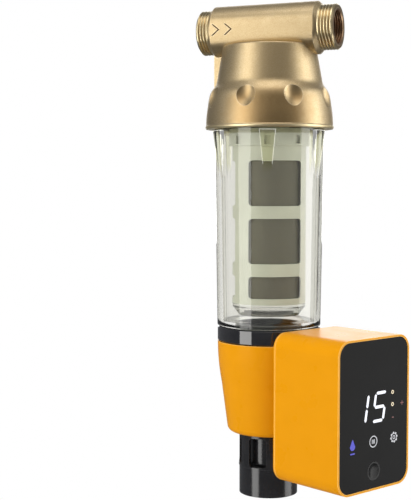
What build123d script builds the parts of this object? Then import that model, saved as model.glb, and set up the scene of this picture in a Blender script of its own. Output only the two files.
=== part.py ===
from build123d import *
import os
from math import atan2, cos, radians, sin

os.makedirs("parts", exist_ok=True)

# Spin-down sediment filter with a motorised drain valve.
# Millimetres. Origin where the pipe axis crosses the bowl axis.
# +X along the flow from inlet to outlet, +Z up, the front of the head faces -Y.

# Pipe ports
port_span = 106.3
thread_r = 16.62
nipple_length = 15.4
nipple_chamfer = 1.0
socket_r = 12.06
socket_depth = 15.0
socket_chamfer = 0.8
passage_r = 10.4

# Barrel, neck and bell of the head casting
barrel_r = 19.3
barrel_chamfer = 1.8
neck_drop = 12.0
neck_top_r = 34.8
neck_edge_round = 1.2
neck_height = 26.3
neck_foot_r = 39.3
shoulder_drop = 6.9
shoulder_r = 43.2
cheek_drop = 18.2
cheek_r = 46.1
bell_height = 35.2
bell_r = 47.35
rim_band = 2.6
rim_lip = 0.5
roof_wall = 4.0
neck_wall = 4.4
bell_wall = 6.0
port_tube_wall = 4.2
port_tube_length = 32.0
inlet_drop_length = 17.0

# Scallops round the bell
scallop_count = 8
scallop_width = 14.0
scallop_depth = 2.3
scallop_above = 6.6
scallop_below = 11.5
scallop_drop = 9.6

# Clear bowl
bowl_length = 147.0
bowl_foot_r = 38.75
bowl_wall = 4.2
bowl_floor = 4.5
bowl_engagement = 15.0
bowl_thread_clearance = 0.3
bowl_stop_gap = 1.0
bowl_edge_round = 1.5
rib_count = 6
rib_turn = -72.3
rib_gap = 1.5
rib_length = 35.0
rib_stand = 3.0
rib_top_width = 12.0
rib_foot_width = 5.0

# Bowl seal
seal_section_r = 1.4
seal_from_top = 4.5
seal_groove_slack = 0.3
seal_fit = 0.05

# Bowl outlet, union nut and swivel
outlet_neck_length = 15.0
outlet_neck_r = 29.5
outlet_neck_wall = 4.2
nut_band_height = 11.1
nut_inset = 0.2
nut_skirt_r = 33.8
nut_lip = 2.6
nut_chamfer = 0.8
nut_fit = 0.1
swivel_gap = 0.3

# Cartridge
cage_r = 27.5
cage_wall = 2.2
cage_columns = 3
cage_turn = -58.5
cage_window_width = 38.4
cage_first_window = 23.6
cage_tall_window = 33.3
cage_low_window = 16.4
cage_band = 9.2
cage_foot_band = 4.5
cage_corner_r = 2.6
cartridge_fit = 0.1
mesh_wall = 0.5
spigot_clearance = 0.15
swirl_r = 30.0
swirl_wall = 2.0
swirl_height = 12.5
swirl_slot_count = 8
swirl_slot_width = 5.0
swirl_slot_height = 6.0
swirl_slot_turn = 17.0
base_height = 9.0
base_foot_r = 22.5
base_floor = 2.5

# Drain valve
stem_drop = 32.0
ball_r = 14.0
ball_bore_r = 9.0
ball_fit = 0.06
seat_land_r = 15.4
seat_depth = 9.5
seat_fit = 0.1
valve_wall = 5.2
valve_shoulder_r = 27.6
flange_r = 31.0
flange_height = 3.0
funnel_r = 21.5
stem_r = 4.0
stem_fit = 0.05
stem_collar_r = 5.6
stem_collar_length = 2.2
stem_tang_width = 4.0
stem_tang_height = 8.4
stem_tang_depth = 3.2
stem_seal_section_r = 0.7
stem_housing_r = 8.8
stem_housing_flange_r = 12.0
stem_housing_flange_length = 4.0
nozzle_r = 12.5
nozzle_bore_r = 8.8
nozzle_length = 12.0
end_cap_flange = 4.0

# Orange valve cover
cover_height = 68.8
cover_top_r = 38.5
cover_waist_drop = 31.6
cover_waist_r = 35.5
cover_bulge = 0.75
cover_foot_r = 30.6
cover_foot_round = 4.6
cover_wall = 2.4
cover_shelf_height = 2.0
boss_r = 16.0
boss_clearance = 0.2

# Drain spout
spout_r = 22.4
spout_length = 46.9
spout_wall = 2.2
spout_flange_r = 24.5
spout_flange_height = 2.0
drain_socket_r = 20.1
drain_socket_depth = 21.0
gasket_height = 1.0
air_gap_count = 6
air_gap_turn = -92.5
air_gap_width = 14.0
air_gap_drop = 2.8
air_gap_height = 22.0
air_gap_corner_r = 3.0

# Controller box
controller_turn = -26.2
box_back = 41.3
box_depth = 63.3
box_width = 74.1
box_height = 106.5
box_rise = 12.3
box_corner_r = 11.0
box_back_round = 2.6
box_wall = 2.4
box_rim = 1.5
back_plate = 3.0
back_lip = 4.6
back_lip_wall = 1.8
lid_fit = 0.15
screw_r = 1.5
screw_head_r = 2.8
screw_head_height = 1.7
screw_length = 14.0
screw_hole_slack = 0.05
pillar_r = 3.4
pillar_length = 15.0
pillar_inset = 6.8

# Front panel, display and button
panel_thickness = 2.2
panel_recess = 0.4
panel_fit = 0.1
frame_width = 3.4
board_gap = 5.8
board_thickness = 1.6
board_margin = 1.5
digit_drop = 48.6
digit_offset = 2.5
digit_width = 27.0
digit_height = 24.0
lamp_size = 4.0
mark_offset = 19.6
mark_drops = (40.1, 48.7, 58.0)
icon_drop = 72.4
icon_offsets = (-22.0, -0.5, 21.4)
button_rise = 13.5
button_r = 6.5
button_gap = 0.15
button_flange = 0.8
button_flange_height = 1.6
button_dish = 0.9
button_travel = 0.8
button_proud = 0.1
switch_size = 6.0
switch_plunger_r = 1.7

# Gear motor
output_pitch_r = 14.4
output_teeth = 36
wheel_teeth = 30
pinion_teeth = 10
train_turn = 197.0
motor_turn = 258.0
wheel_width = 4.0
wheel_gap = 0.8
axle_r = 1.5
axle_fit = 0.05
gearbox_plate = 2.0
gearbox_wall = 1.6
gearbox_clearance = 1.0
gearbox_stand = 5.2
motor_r = 10.2
motor_flat = 7.6
motor_shaft_r = 1.2
motor_board_gap = 1.0
standoff_r = 3.0

# Battery and charging inlet
cell_r = 9.1
cell_length = 65.0
cell_gap = 0.6
cell_offset = 11.0
tray_wall = 1.4
tray_plinth = 4.0
tray_plinth_width = 24.0
inlet_from_side = 17.05
inlet_to_cells = 3.25
inlet_body = 9.0
inlet_body_height = 12.0
inlet_flange_r = 5.6
inlet_hole_r = 3.1
inlet_hole_depth = 9.0

# Heights worked out from the sizes above
barrel_half = port_span / 2 - nipple_length
neck_top_z = -neck_drop
neck_foot_z = neck_top_z - neck_height
rim_z = neck_foot_z - bell_height
bowl_top_z = rim_z + bowl_engagement
ledge_z = bowl_top_z + bowl_stop_gap
bowl_foot_z = rim_z - bowl_length
neck_end_z = bowl_foot_z - outlet_neck_length
cover_top_z = bowl_foot_z - nut_band_height - swivel_gap
cover_foot_z = cover_top_z - cover_height
spout_foot_z = cover_foot_z - spout_length
stem_z = cover_top_z - stem_drop
box_top_z = cover_top_z + box_rise
box_mid_z = box_top_z - box_height / 2
box_foot_z = box_top_z - box_height
roof_z = neck_top_z - roof_wall
port_tube_end_z = neck_top_z - port_tube_length

# Radii that several pieces share
bell_bore_r = bell_r - bell_wall
bowl_neck_r = bell_bore_r - bowl_thread_clearance
bowl_inner_r = bowl_neck_r - bowl_wall
bowl_inner_foot_r = bowl_foot_r - bowl_wall
seal_ring_r = bell_bore_r - seal_fit - seal_section_r
seal_groove_r = seal_ring_r - seal_section_r - seal_fit
outlet_bore_r = outlet_neck_r - outlet_neck_wall
valve_spigot_r = outlet_bore_r - nut_fit
cage_inner_r = cage_r - cage_wall
mesh_r = cage_inner_r - cartridge_fit
spigot_r = passage_r + port_tube_wall
port_bore_r = spigot_r + spigot_clearance
port_tube_r = port_bore_r + port_tube_wall
valve_bore_r = seat_land_r + seat_fit
valve_r = valve_bore_r + valve_wall

# Directions of the controller: outward through its panel, and to the right across it
outward = Vector(cos(radians(controller_turn)), sin(radians(controller_turn)), 0)
across = Vector(-outward.Y, outward.X, 0)

gear_module = 2 * output_pitch_r / output_teeth

# Distances from the bowl axis along the outward direction
back_plate_front = box_back + back_plate
box_front = box_back + box_depth
panel_front = box_front - panel_recess
panel_back = panel_front - panel_thickness
board_front = panel_back - board_gap
board_back = board_front - board_thickness
gearbox_back = back_plate_front + gearbox_stand
gear_level_a = gearbox_back + gearbox_plate + wheel_gap
gear_level_b = gear_level_a + wheel_width + wheel_gap
gear_level_c = gear_level_b + wheel_width + wheel_gap
gearbox_front = gear_level_c + wheel_width + wheel_gap
motor_back = gearbox_front + gearbox_plate
motor_front = board_back - motor_board_gap
cell_depth = (motor_back + motor_front) / 2
inlet_depth = cell_depth - cell_r - inlet_to_cells - inlet_body / 2
inlet_center = outward * inlet_depth + across * (box_width / 2 - inlet_from_side)


def facing(distance):
    # Plane across the outward direction; its x runs across the panel and its y is height
    return Plane(origin=outward * distance, x_dir=across, z_dir=outward)


def radial(angle):
    # Upright plane through the bowl axis that looks out along this angle
    direction = Vector(cos(radians(angle)), sin(radians(angle)), 0)
    return Plane(origin=(0, 0, 0), x_dir=(-direction.Y, direction.X, 0), z_dir=direction)


def section(inner_r, outer_r, low_z, high_z):
    # Rectangle of a turned ring, for a sketch on the XZ plane
    with Locations(((inner_r + outer_r) / 2, (low_z + high_z) / 2)):
        Rectangle(outer_r - inner_r, high_z - low_z)


def polar(center, distance, angle):
    return (center[0] + distance * cos(radians(angle)), center[1] + distance * sin(radians(angle)))


def ring_part(ring_r, section_r, height):
    # Round sealing ring about the bowl axis
    with BuildPart() as ring:
        with BuildSketch(Plane.XZ):
            with Locations((ring_r, height)):
                Circle(section_r)
        revolve(axis=Axis.Z)
    return ring.part


# Scallop cutter: a long drop-shaped hollow that lies on the slope of the bell
slope = atan2(cheek_r - shoulder_r, cheek_drop - shoulder_drop)
scallop_radius = (scallop_width**2 / 4 + scallop_depth**2) / (2 * scallop_depth)
scallop_center_r = shoulder_r + (cheek_r - shoulder_r) / (cheek_drop - shoulder_drop) * (
    scallop_drop - shoulder_drop
)
scallop_plane = Plane(
    origin=(scallop_center_r, 0, neck_foot_z - scallop_drop),
    x_dir=(cos(slope), 0, sin(slope)),
    z_dir=(0, -1, 0),
)
with BuildPart() as scallop:
    with BuildSketch(scallop_plane):
        with BuildLine():
            axis_x = scallop_radius - scallop_depth
            low = (0, -scallop_below)
            deep = (-scallop_depth, 0)
            high = (0, scallop_above)
            Spline(low, deep, high)
            Polyline(high, (axis_x, scallop_above), (axis_x, -scallop_below), low)
        make_face()
    revolve(axis=Axis(scallop_plane.from_local_coords((axis_x, 0, 0)), scallop_plane.y_dir))

# Head casting: barrel with two nipples, neck and bell in one brass casting
with BuildPart() as head_casting:
    with BuildSketch(Plane.YZ.offset(-barrel_half)):
        Circle(barrel_r)
    extrude(amount=2 * barrel_half)
    chamfer(head_casting.edges().filter_by(GeomType.CIRCLE), barrel_chamfer)
    with BuildSketch(Plane.YZ.offset(-port_span / 2)):
        Circle(thread_r)
    extrude(amount=port_span)
    nipple_rims = head_casting.edges().filter_by(GeomType.CIRCLE).group_by(Axis.X)
    chamfer(nipple_rims[0] + nipple_rims[-1], nipple_chamfer)
    with BuildSketch(Plane.XZ):
        with BuildLine():
            neck_edge = (neck_top_r, neck_top_z - neck_edge_round)
            neck_foot = (neck_foot_r, neck_foot_z)
            bell_shoulder = (shoulder_r, neck_foot_z - shoulder_drop)
            bell_cheek = (cheek_r, neck_foot_z - cheek_drop)
            bell_hip = (bell_r, rim_z + rim_band)
            neck_slope = (neck_foot_r - neck_top_r, -neck_height)
            Polyline((0, rim_z), (0, neck_top_z), (neck_top_r - neck_edge_round, neck_top_z))
            RadiusArc((neck_top_r - neck_edge_round, neck_top_z), neck_edge, neck_edge_round)
            Line(neck_edge, neck_foot)
            Spline(neck_foot, bell_shoulder, bell_cheek, bell_hip, tangents=(neck_slope, (0, -1)))
            lip_mid = (bell_r + rim_lip, rim_z + rim_band / 2)
            ThreePointArc(bell_hip, lip_mid, (bell_r, rim_z))
            Line((bell_r, rim_z), (0, rim_z))
        make_face()
    revolve(axis=Axis.Z)
    with PolarLocations(0, scallop_count):
        add(scallop.part, mode=Mode.SUBTRACT)
    # Chamber under the roof, open to the bowl, round the outlet tube
    with BuildSketch(Plane.XZ):
        with BuildLine():
            Polyline(
                (port_tube_r, port_tube_end_z),
                (port_tube_r, roof_z),
                (neck_top_r - neck_wall, roof_z),
                (neck_foot_r - neck_wall, neck_foot_z),
                (bowl_inner_r, neck_foot_z - shoulder_drop),
                (bowl_inner_r, ledge_z),
                (bell_bore_r, ledge_z),
                (bell_bore_r, rim_z),
                (0, rim_z),
                (0, port_tube_end_z),
                close=True,
            )
        make_face()
    revolve(axis=Axis.Z, mode=Mode.SUBTRACT)
    # Outlet: bore of the tube that takes the cartridge, then up and out to +X
    with BuildSketch(Plane.XY.offset(port_tube_end_z)):
        Circle(port_bore_r)
    extrude(amount=port_tube_length - roof_wall - neck_drop / 2, mode=Mode.SUBTRACT)
    with BuildSketch(Plane.XY.offset(port_tube_end_z)):
        Circle(passage_r)
    extrude(amount=-port_tube_end_z, mode=Mode.SUBTRACT)
    with BuildSketch(Plane.YZ):
        Circle(passage_r)
    extrude(amount=port_span / 2, mode=Mode.SUBTRACT)
    with Locations(Location((0, 0, 0))):
        Sphere(passage_r, mode=Mode.SUBTRACT)
    # Inlet: in from -X, then down into the chamber
    with BuildSketch(Plane.YZ.offset(-port_span / 2)):
        Circle(passage_r)
    extrude(amount=port_span / 2 - port_tube_r, mode=Mode.SUBTRACT)
    drop_width = neck_top_r - neck_wall - port_tube_r
    with BuildSketch(Plane.XY.offset(roof_z)):
        with Locations((-port_tube_r - drop_width / 2, 0)):
            RectangleRounded(drop_width, inlet_drop_length, drop_width / 3)
    extrude(amount=-roof_z, mode=Mode.SUBTRACT)
    # Threaded sockets in both nipples, at the crest of their thread
    for side in (-1, 1):
        with BuildSketch(Plane.YZ.offset(side * port_span / 2)):
            Circle(socket_r)
        extrude(amount=-side * socket_depth, mode=Mode.SUBTRACT)
    mouths = head_casting.edges().filter_by(GeomType.CIRCLE).filter_by(
        lambda edge: abs(edge.radius - socket_r) < 0.01
    )
    mouth_groups = mouths.group_by(Axis.X)
    chamfer(mouth_groups[0] + mouth_groups[-1], socket_chamfer)
head_casting.part.label = "head_casting"
export_step(head_casting.part, "parts/head_casting.step")

# Bowl seal: round ring in a groove of the bowl's neck, against the bell's bore
seal_z = bowl_top_z - seal_from_top
with BuildPart() as bowl_seal:
    add(ring_part(seal_ring_r, seal_section_r, seal_z))
bowl_seal.part.label = "bowl_seal"
export_step(bowl_seal.part, "parts/bowl_seal.step")

# One stiffening rib of the bowl, wide and deep at the top, running out down the wall
rib_top_z = rim_z - rib_gap
rib_foot_z = rib_top_z - rib_length


def bowl_outer_r(height):
    return bowl_neck_r + (bowl_foot_r - bowl_neck_r) * (rim_z - height) / bowl_length


with BuildPart() as bowl_rib:
    for height, width, stand in (
        (rib_top_z, rib_top_width, rib_stand),
        (rib_foot_z, rib_foot_width, 0.0),
    ):
        rib_root = bowl_outer_r(height) - bowl_wall / 2
        rib_face = bowl_outer_r(height) + stand
        with BuildSketch(Plane.XY.offset(height)):
            with Locations(((rib_root + rib_face) / 2, 0)):
                Rectangle(rib_face - rib_root, width)
    loft()

# Clear bowl: neck that screws into the bell, tapered wall with ribs, floor and outlet neck
with BuildPart() as clear_bowl:
    with BuildSketch(Plane.XZ):
        with BuildLine():
            Polyline(
                (bowl_inner_r, bowl_top_z),
                (bowl_neck_r, bowl_top_z),
                (bowl_neck_r, rim_z),
                (bowl_foot_r, bowl_foot_z),
                (outlet_neck_r, bowl_foot_z),
                (outlet_neck_r, neck_end_z),
                (outlet_bore_r, neck_end_z),
                (outlet_bore_r, bowl_foot_z + bowl_floor),
                (bowl_inner_foot_r, bowl_foot_z + bowl_floor),
                (bowl_inner_r, rim_z),
                close=True,
            )
        make_face()
    revolve(axis=Axis.Z)
    foot_edges = clear_bowl.edges().filter_by(GeomType.CIRCLE).filter_by(
        lambda edge: abs(edge.radius - bowl_foot_r) < 0.01
    )
    fillet(foot_edges, bowl_edge_round)
    with BuildSketch(Plane.XZ):
        half_groove = seal_section_r + seal_groove_slack
        section(seal_groove_r, bell_bore_r, seal_z - half_groove, seal_z + half_groove)
    revolve(axis=Axis.Z, mode=Mode.SUBTRACT)
    with PolarLocations(0, rib_count, start_angle=rib_turn):
        add(bowl_rib.part)
clear_bowl.part.label = "clear_bowl"
export_step(clear_bowl.part, "parts/clear_bowl.step")

# Union nut: black band under the bowl, with a skirt and lip that hold the valve's flange
flange_top_z = neck_end_z - swivel_gap
flange_foot_z = flange_top_z - flange_height
nut_lip_z = flange_foot_z - swivel_gap
nut_foot_z = nut_lip_z - nut_lip
nut_band_foot_z = bowl_foot_z - nut_band_height
nut_inner_r = flange_r + swivel_gap
with BuildPart() as union_nut:
    with BuildSketch(Plane.XZ):
        with BuildLine():
            Polyline(
                (outlet_neck_r + nut_fit, bowl_foot_z),
                (bowl_foot_r - nut_inset, bowl_foot_z),
                (bowl_foot_r - nut_inset, nut_band_foot_z),
                (nut_skirt_r, nut_band_foot_z),
                (nut_skirt_r, nut_foot_z),
                (valve_shoulder_r + swivel_gap, nut_foot_z),
                (valve_shoulder_r + swivel_gap, nut_lip_z),
                (nut_inner_r, nut_lip_z),
                (nut_inner_r, neck_end_z),
                (outlet_neck_r + nut_fit, neck_end_z),
                close=True,
            )
        make_face()
    revolve(axis=Axis.Z)
    band_edges = union_nut.edges().filter_by(GeomType.CIRCLE).filter_by(
        lambda edge: abs(edge.radius - bowl_foot_r + nut_inset) < 0.01
    )
    chamfer(band_edges, nut_chamfer)
union_nut.part.label = "union_nut"
export_step(union_nut.part, "parts/union_nut.step")

# Cartridge cap: spigot up into the head, flange, and a skirt with swirl slots
swirl_top_z = rim_z
swirl_foot_z = swirl_top_z - swirl_height
spigot_top_z = roof_z - neck_drop / 2
cap_plate = swirl_wall + cage_wall
with BuildPart() as cartridge_cap:
    with BuildSketch(Plane.XZ):
        section(passage_r, spigot_r, swirl_top_z - cap_plate, spigot_top_z)
        section(passage_r, swirl_r, swirl_top_z - cap_plate, swirl_top_z)
        section(swirl_r - swirl_wall, swirl_r, swirl_foot_z, swirl_top_z)
    revolve(axis=Axis.Z)
    with BuildSketch(Plane.XZ):
        groove_z = port_tube_end_z + seal_from_top
        groove_half = seal_section_r + seal_groove_slack
        groove_r = port_bore_r - 2 * seal_section_r - 2 * seal_fit
        section(groove_r, spigot_r, groove_z - groove_half, groove_z + groove_half)
    revolve(axis=Axis.Z, mode=Mode.SUBTRACT)
    slot_z = (swirl_top_z - cap_plate + swirl_foot_z) / 2
    with BuildSketch(Plane.XY.offset(slot_z - swirl_slot_height / 2)):
        with PolarLocations(swirl_r, swirl_slot_count, start_angle=swirl_slot_turn):
            Rectangle(4 * swirl_wall, swirl_slot_width)
    extrude(amount=swirl_slot_height, mode=Mode.SUBTRACT)
cartridge_cap.part.label = "cartridge_cap"
export_step(cartridge_cap.part, "parts/cartridge_cap.step")

# Cartridge seal round the spigot, inside the head's outlet tube
with BuildPart() as cartridge_seal:
    add(ring_part(port_bore_r - seal_fit - seal_section_r, seal_section_r, groove_z))
cartridge_seal.part.label = "cartridge_seal"
export_step(cartridge_seal.part, "parts/cartridge_seal.step")

# Cartridge cage: open plastic tube with three columns of tall windows
cage_top_z = swirl_top_z - cap_plate
cage_windows = (cage_tall_window, cage_tall_window, cage_low_window)
window_starts = []
next_window_z = swirl_top_z - cage_first_window
for window_height in cage_windows:
    window_starts.append(next_window_z)
    next_window_z = next_window_z - window_height - cage_band
cage_foot_z = next_window_z + cage_band - cage_foot_band
with BuildPart() as cartridge_cage:
    with BuildSketch(Plane.XZ):
        section(cage_inner_r, swirl_r - swirl_wall - cartridge_fit, swirl_foot_z, cage_top_z)
        section(cage_inner_r, cage_r, cage_foot_z, cage_top_z)
    revolve(axis=Axis.Z)
    for column in range(cage_columns):
        with BuildSketch(radial(cage_turn + column * 360 / cage_columns)):
            for window_top, window_height in zip(window_starts, cage_windows):
                with Locations((0, window_top - window_height / 2)):
                    RectangleRounded(cage_window_width, window_height, cage_corner_r)
        extrude(amount=2 * cage_r, mode=Mode.SUBTRACT)
cartridge_cage.part.label = "cartridge_cage"
export_step(cartridge_cage.part, "parts/cartridge_cage.step")

# Fine steel mesh, a thin sleeve inside the cage
with BuildPart() as mesh_sleeve:
    with BuildSketch(Plane.XZ):
        section(mesh_r - mesh_wall, mesh_r, cage_foot_z, cage_top_z)
    revolve(axis=Axis.Z)
mesh_sleeve.part.label = "mesh_sleeve"
export_step(mesh_sleeve.part, "parts/mesh_sleeve.step")

# Clear cartridge base that closes the bottom of the cage
with BuildPart() as cartridge_base:
    with BuildSketch(Plane.XZ):
        with BuildLine():
            Polyline(
                (0, cage_foot_z),
                (cage_r, cage_foot_z),
                (cage_r, cage_foot_z - base_floor),
                (base_foot_r, cage_foot_z - base_height),
                (base_foot_r - base_floor, cage_foot_z - base_height),
                (base_foot_r - base_floor, cage_foot_z - base_floor),
                (0, cage_foot_z - base_floor),
                close=True,
            )
        make_face()
    revolve(axis=Axis.Z)
cartridge_base.part.label = "cartridge_base"
export_step(cartridge_base.part, "parts/cartridge_base.step")

# Valve body: spigot in the bowl's outlet, swivel flange, shoulder and ball chamber
shoulder_foot_z = nut_foot_z - 2 * swivel_gap
seat_top_z = stem_z + seat_depth + ball_r / 2
valve_foot_z = stem_z - seat_depth - ball_r / 2 - end_cap_flange
spigot_head_z = bowl_foot_z + bowl_floor / 2
with BuildPart() as valve_body:
    with BuildSketch(Plane.XZ):
        with BuildLine():
            Polyline(
                (funnel_r, spigot_head_z),
                (valve_spigot_r, spigot_head_z),
                (valve_spigot_r, flange_top_z),
                (flange_r, flange_top_z),
                (flange_r, flange_foot_z),
                (valve_shoulder_r, flange_foot_z),
                (valve_shoulder_r, shoulder_foot_z),
                (valve_r, shoulder_foot_z),
                (valve_r, valve_foot_z),
                (valve_bore_r, valve_foot_z),
                (valve_bore_r, seat_top_z),
                (ball_bore_r, seat_top_z),
                (funnel_r, flange_foot_z),
                close=True,
            )
        make_face()
    revolve(axis=Axis.Z)
    with BuildSketch(Plane.XZ):
        swivel_seal_z = (spigot_head_z + flange_top_z) / 2
        swivel_groove_r = outlet_bore_r - 2 * seal_section_r - 2 * seal_fit
        groove_half = seal_section_r + seal_groove_slack
        section(
            swivel_groove_r,
            outlet_neck_r,
            swivel_seal_z - groove_half,
            swivel_seal_z + groove_half,
        )
    revolve(axis=Axis.Z, mode=Mode.SUBTRACT)
    with BuildSketch(facing(0)):
        with Locations((0, stem_z)):
            Circle(stem_housing_r + stem_fit)
    extrude(amount=box_back, mode=Mode.SUBTRACT)
valve_body.part.label = "valve_body"
export_step(valve_body.part, "parts/valve_body.step")

with BuildPart() as swivel_seal:
    add(ring_part(outlet_bore_r - seal_fit - seal_section_r, seal_section_r, swivel_seal_z))
swivel_seal.part.label = "swivel_seal"
export_step(swivel_seal.part, "parts/swivel_seal.step")


def seat_part(side):
    # Valve seat with a hollow face round the ball; side is 1 above the ball and -1 below
    inner_z = stem_z + side * ball_r / 2
    outer_z = inner_z + side * seat_depth
    with BuildPart() as seat:
        with BuildSketch(Plane.XZ):
            section(ball_bore_r, seat_land_r, min(inner_z, outer_z), max(inner_z, outer_z))
        revolve(axis=Axis.Z)
        with Locations((0, 0, stem_z)):
            Sphere(ball_r + ball_fit, mode=Mode.SUBTRACT)
    return seat.part


with BuildPart() as upper_seat:
    add(seat_part(1))
upper_seat.part.label = "upper_seat"
export_step(upper_seat.part, "parts/upper_seat.step")

with BuildPart() as lower_seat:
    add(seat_part(-1))
lower_seat.part.label = "lower_seat"
export_step(lower_seat.part, "parts/lower_seat.step")

# End cap that holds the lower seat and carries the drain nozzle
seat_foot_z = stem_z - ball_r / 2 - seat_depth
nozzle_foot_z = valve_foot_z - end_cap_flange - nozzle_length
with BuildPart() as valve_end_cap:
    with BuildSketch(Plane.XZ):
        section(nozzle_bore_r, seat_land_r, valve_foot_z, seat_foot_z)
        section(nozzle_bore_r, valve_r, valve_foot_z - end_cap_flange, valve_foot_z)
        section(nozzle_bore_r, nozzle_r, nozzle_foot_z, valve_foot_z)
    revolve(axis=Axis.Z)
    nozzle_rim = valve_end_cap.edges().filter_by(GeomType.CIRCLE).group_by(Axis.Z)[0]
    chamfer(nozzle_rim, nut_chamfer)
valve_end_cap.part.label = "valve_end_cap"
export_step(valve_end_cap.part, "parts/valve_end_cap.step")

# Ball: its bore lies across the flow at rest, and a slot takes the stem's tang
tang_start = ball_r - stem_tang_depth
with BuildPart() as valve_ball:
    with Locations((0, 0, stem_z)):
        Sphere(ball_r)
    with BuildSketch(Plane(origin=(0, 0, stem_z), x_dir=outward, z_dir=across)):
        Circle(ball_bore_r)
    extrude(amount=ball_r, both=True, mode=Mode.SUBTRACT)
    with BuildSketch(facing(tang_start)):
        with Locations((0, stem_z)):
            Rectangle(2 * ball_r, stem_tang_width + 2 * stem_fit)
    extrude(amount=stem_tang_depth, mode=Mode.SUBTRACT)
valve_ball.part.label = "valve_ball"
export_step(valve_ball.part, "parts/valve_ball.step")

# Stem: tang, collar behind the housing, shaft with two seal grooves, drive end
collar_start = ball_r + stem_tang_depth / 2
housing_start = collar_start + stem_collar_length + stem_fit
stem_end = gear_level_a + wheel_width
stem_seal_places = (housing_start + 3 * stem_r / 2, housing_start + 3 * stem_r)
stem_groove_r = stem_r - 2 * stem_seal_section_r
with BuildPart() as valve_stem:
    with BuildSketch(facing(tang_start + stem_fit)):
        with Locations((0, stem_z)):
            Rectangle(stem_tang_height, stem_tang_width)
    extrude(amount=collar_start - tang_start - stem_fit)
    with BuildSketch(facing(collar_start)):
        with Locations((0, stem_z)):
            Circle(stem_collar_r)
    extrude(amount=stem_collar_length)
    with BuildSketch(facing(collar_start)):
        with Locations((0, stem_z)):
            Circle(stem_r)
    extrude(amount=stem_end - collar_start)
    for seal_place in stem_seal_places:
        with BuildSketch(facing(seal_place - stem_seal_section_r - seal_fit)):
            with Locations((0, stem_z)):
                Circle(stem_r)
                Circle(stem_groove_r, mode=Mode.SUBTRACT)
        extrude(amount=2 * (stem_seal_section_r + seal_fit), mode=Mode.SUBTRACT)
valve_stem.part.label = "valve_stem"
export_step(valve_stem.part, "parts/valve_stem.step")

with BuildPart() as stem_seals:
    with BuildSketch(Plane(origin=(0, 0, stem_z), x_dir=outward, z_dir=across)):
        for seal_place in stem_seal_places:
            with Locations((seal_place, stem_groove_r + stem_seal_section_r)):
                Circle(stem_seal_section_r)
    revolve(axis=Axis((0, 0, stem_z), outward))
stem_seals.part.label = "stem_seals"
export_step(stem_seals.part, "parts/stem_seals.step")

# Stem housing: threaded bush from the valve body through the covers to the gearbox
with BuildPart() as stem_housing:
    with BuildSketch(facing(collar_start)):
        with Locations((0, stem_z)):
            Circle(stem_housing_r)
    extrude(amount=gearbox_back - collar_start)
    with BuildSketch(facing(valve_r + swivel_gap)):
        with Locations((0, stem_z)):
            RegularPolygon(stem_housing_flange_r, 6, major_radius=False)
    extrude(amount=stem_housing_flange_length)
    with BuildSketch(facing(collar_start)):
        with Locations((0, stem_z)):
            Circle(stem_r + stem_fit)
    extrude(amount=gearbox_back - collar_start, mode=Mode.SUBTRACT)
    with BuildSketch(facing(collar_start)):
        with Locations((0, stem_z)):
            Circle(stem_collar_r + stem_fit)
    extrude(amount=stem_collar_length + stem_fit, mode=Mode.SUBTRACT)
stem_housing.part.label = "stem_housing"
export_step(stem_housing.part, "parts/stem_housing.step")

# Orange valve cover: rounded cup round the valve, with a shelf, a floor and a side hole
waist_z = cover_top_z - cover_waist_drop
with BuildPart() as valve_cover:
    with BuildSketch(Plane.XZ):
        with BuildLine():
            top_edge = (cover_top_r, cover_top_z)
            waist = (cover_waist_r, waist_z)
            mid_r = (cover_top_r + cover_waist_r) / 2 + cover_bulge
            ThreePointArc(top_edge, (mid_r, (cover_top_z + waist_z) / 2), waist)
            Polyline(waist, (cover_foot_r, cover_foot_z), (0, cover_foot_z), (0, cover_top_z), top_edge)
        make_face()
    revolve(axis=Axis.Z)
    foot_edge = valve_cover.edges().filter_by(GeomType.CIRCLE).group_by(Axis.Z)[0]
    fillet(foot_edge, cover_foot_round)
    with BuildSketch(Plane.XZ):
        with BuildLine():
            inner_top = (cover_top_r - cover_wall, cover_top_z)
            inner_waist = (cover_waist_r - cover_wall, waist_z)
            inner_mid = (mid_r - cover_wall, (cover_top_z + waist_z) / 2)
            inner_foot_r = cover_foot_r - cover_wall - cover_foot_round / 4
            inner_foot_z = cover_foot_z + cover_wall
            ThreePointArc(inner_top, inner_mid, inner_waist)
            Polyline(
                inner_waist,
                (inner_foot_r, inner_foot_z + cover_foot_round / 2),
                (inner_foot_r - cover_foot_round / 2, inner_foot_z),
                (0, inner_foot_z),
                (0, cover_top_z),
                inner_top,
            )
        make_face()
    revolve(axis=Axis.Z, mode=Mode.SUBTRACT)
    with BuildSketch(Plane.XZ):
        section(
            valve_r + swivel_gap,
            cover_top_r - cover_wall,
            shoulder_foot_z - cover_shelf_height,
            shoulder_foot_z,
        )
        section(0, spout_r + swivel_gap, cover_foot_z, inner_foot_z)
    revolve(axis=Axis.Z)
    with BuildSketch(Plane.XY.offset(cover_foot_z)):
        Circle(spout_r + swivel_gap)
    extrude(amount=cover_wall, mode=Mode.SUBTRACT)
    with BuildSketch(facing(valve_r + swivel_gap)):
        with Locations((0, stem_z)):
            Circle(boss_r + boss_clearance)
    extrude(amount=box_back, mode=Mode.SUBTRACT)
valve_cover.part.label = "valve_cover"
export_step(valve_cover.part, "parts/valve_cover.step")

# Gasket and drain spout: flange on the cover's floor, air-gap windows, socket for the drain pipe
gasket_top_z = inner_foot_z + gasket_height
with BuildPart() as spout_gasket:
    with BuildSketch(Plane.XZ):
        section(spout_r + swivel_gap, spout_flange_r, inner_foot_z, gasket_top_z)
    revolve(axis=Axis.Z)
spout_gasket.part.label = "spout_gasket"
export_step(spout_gasket.part, "parts/spout_gasket.step")

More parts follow.
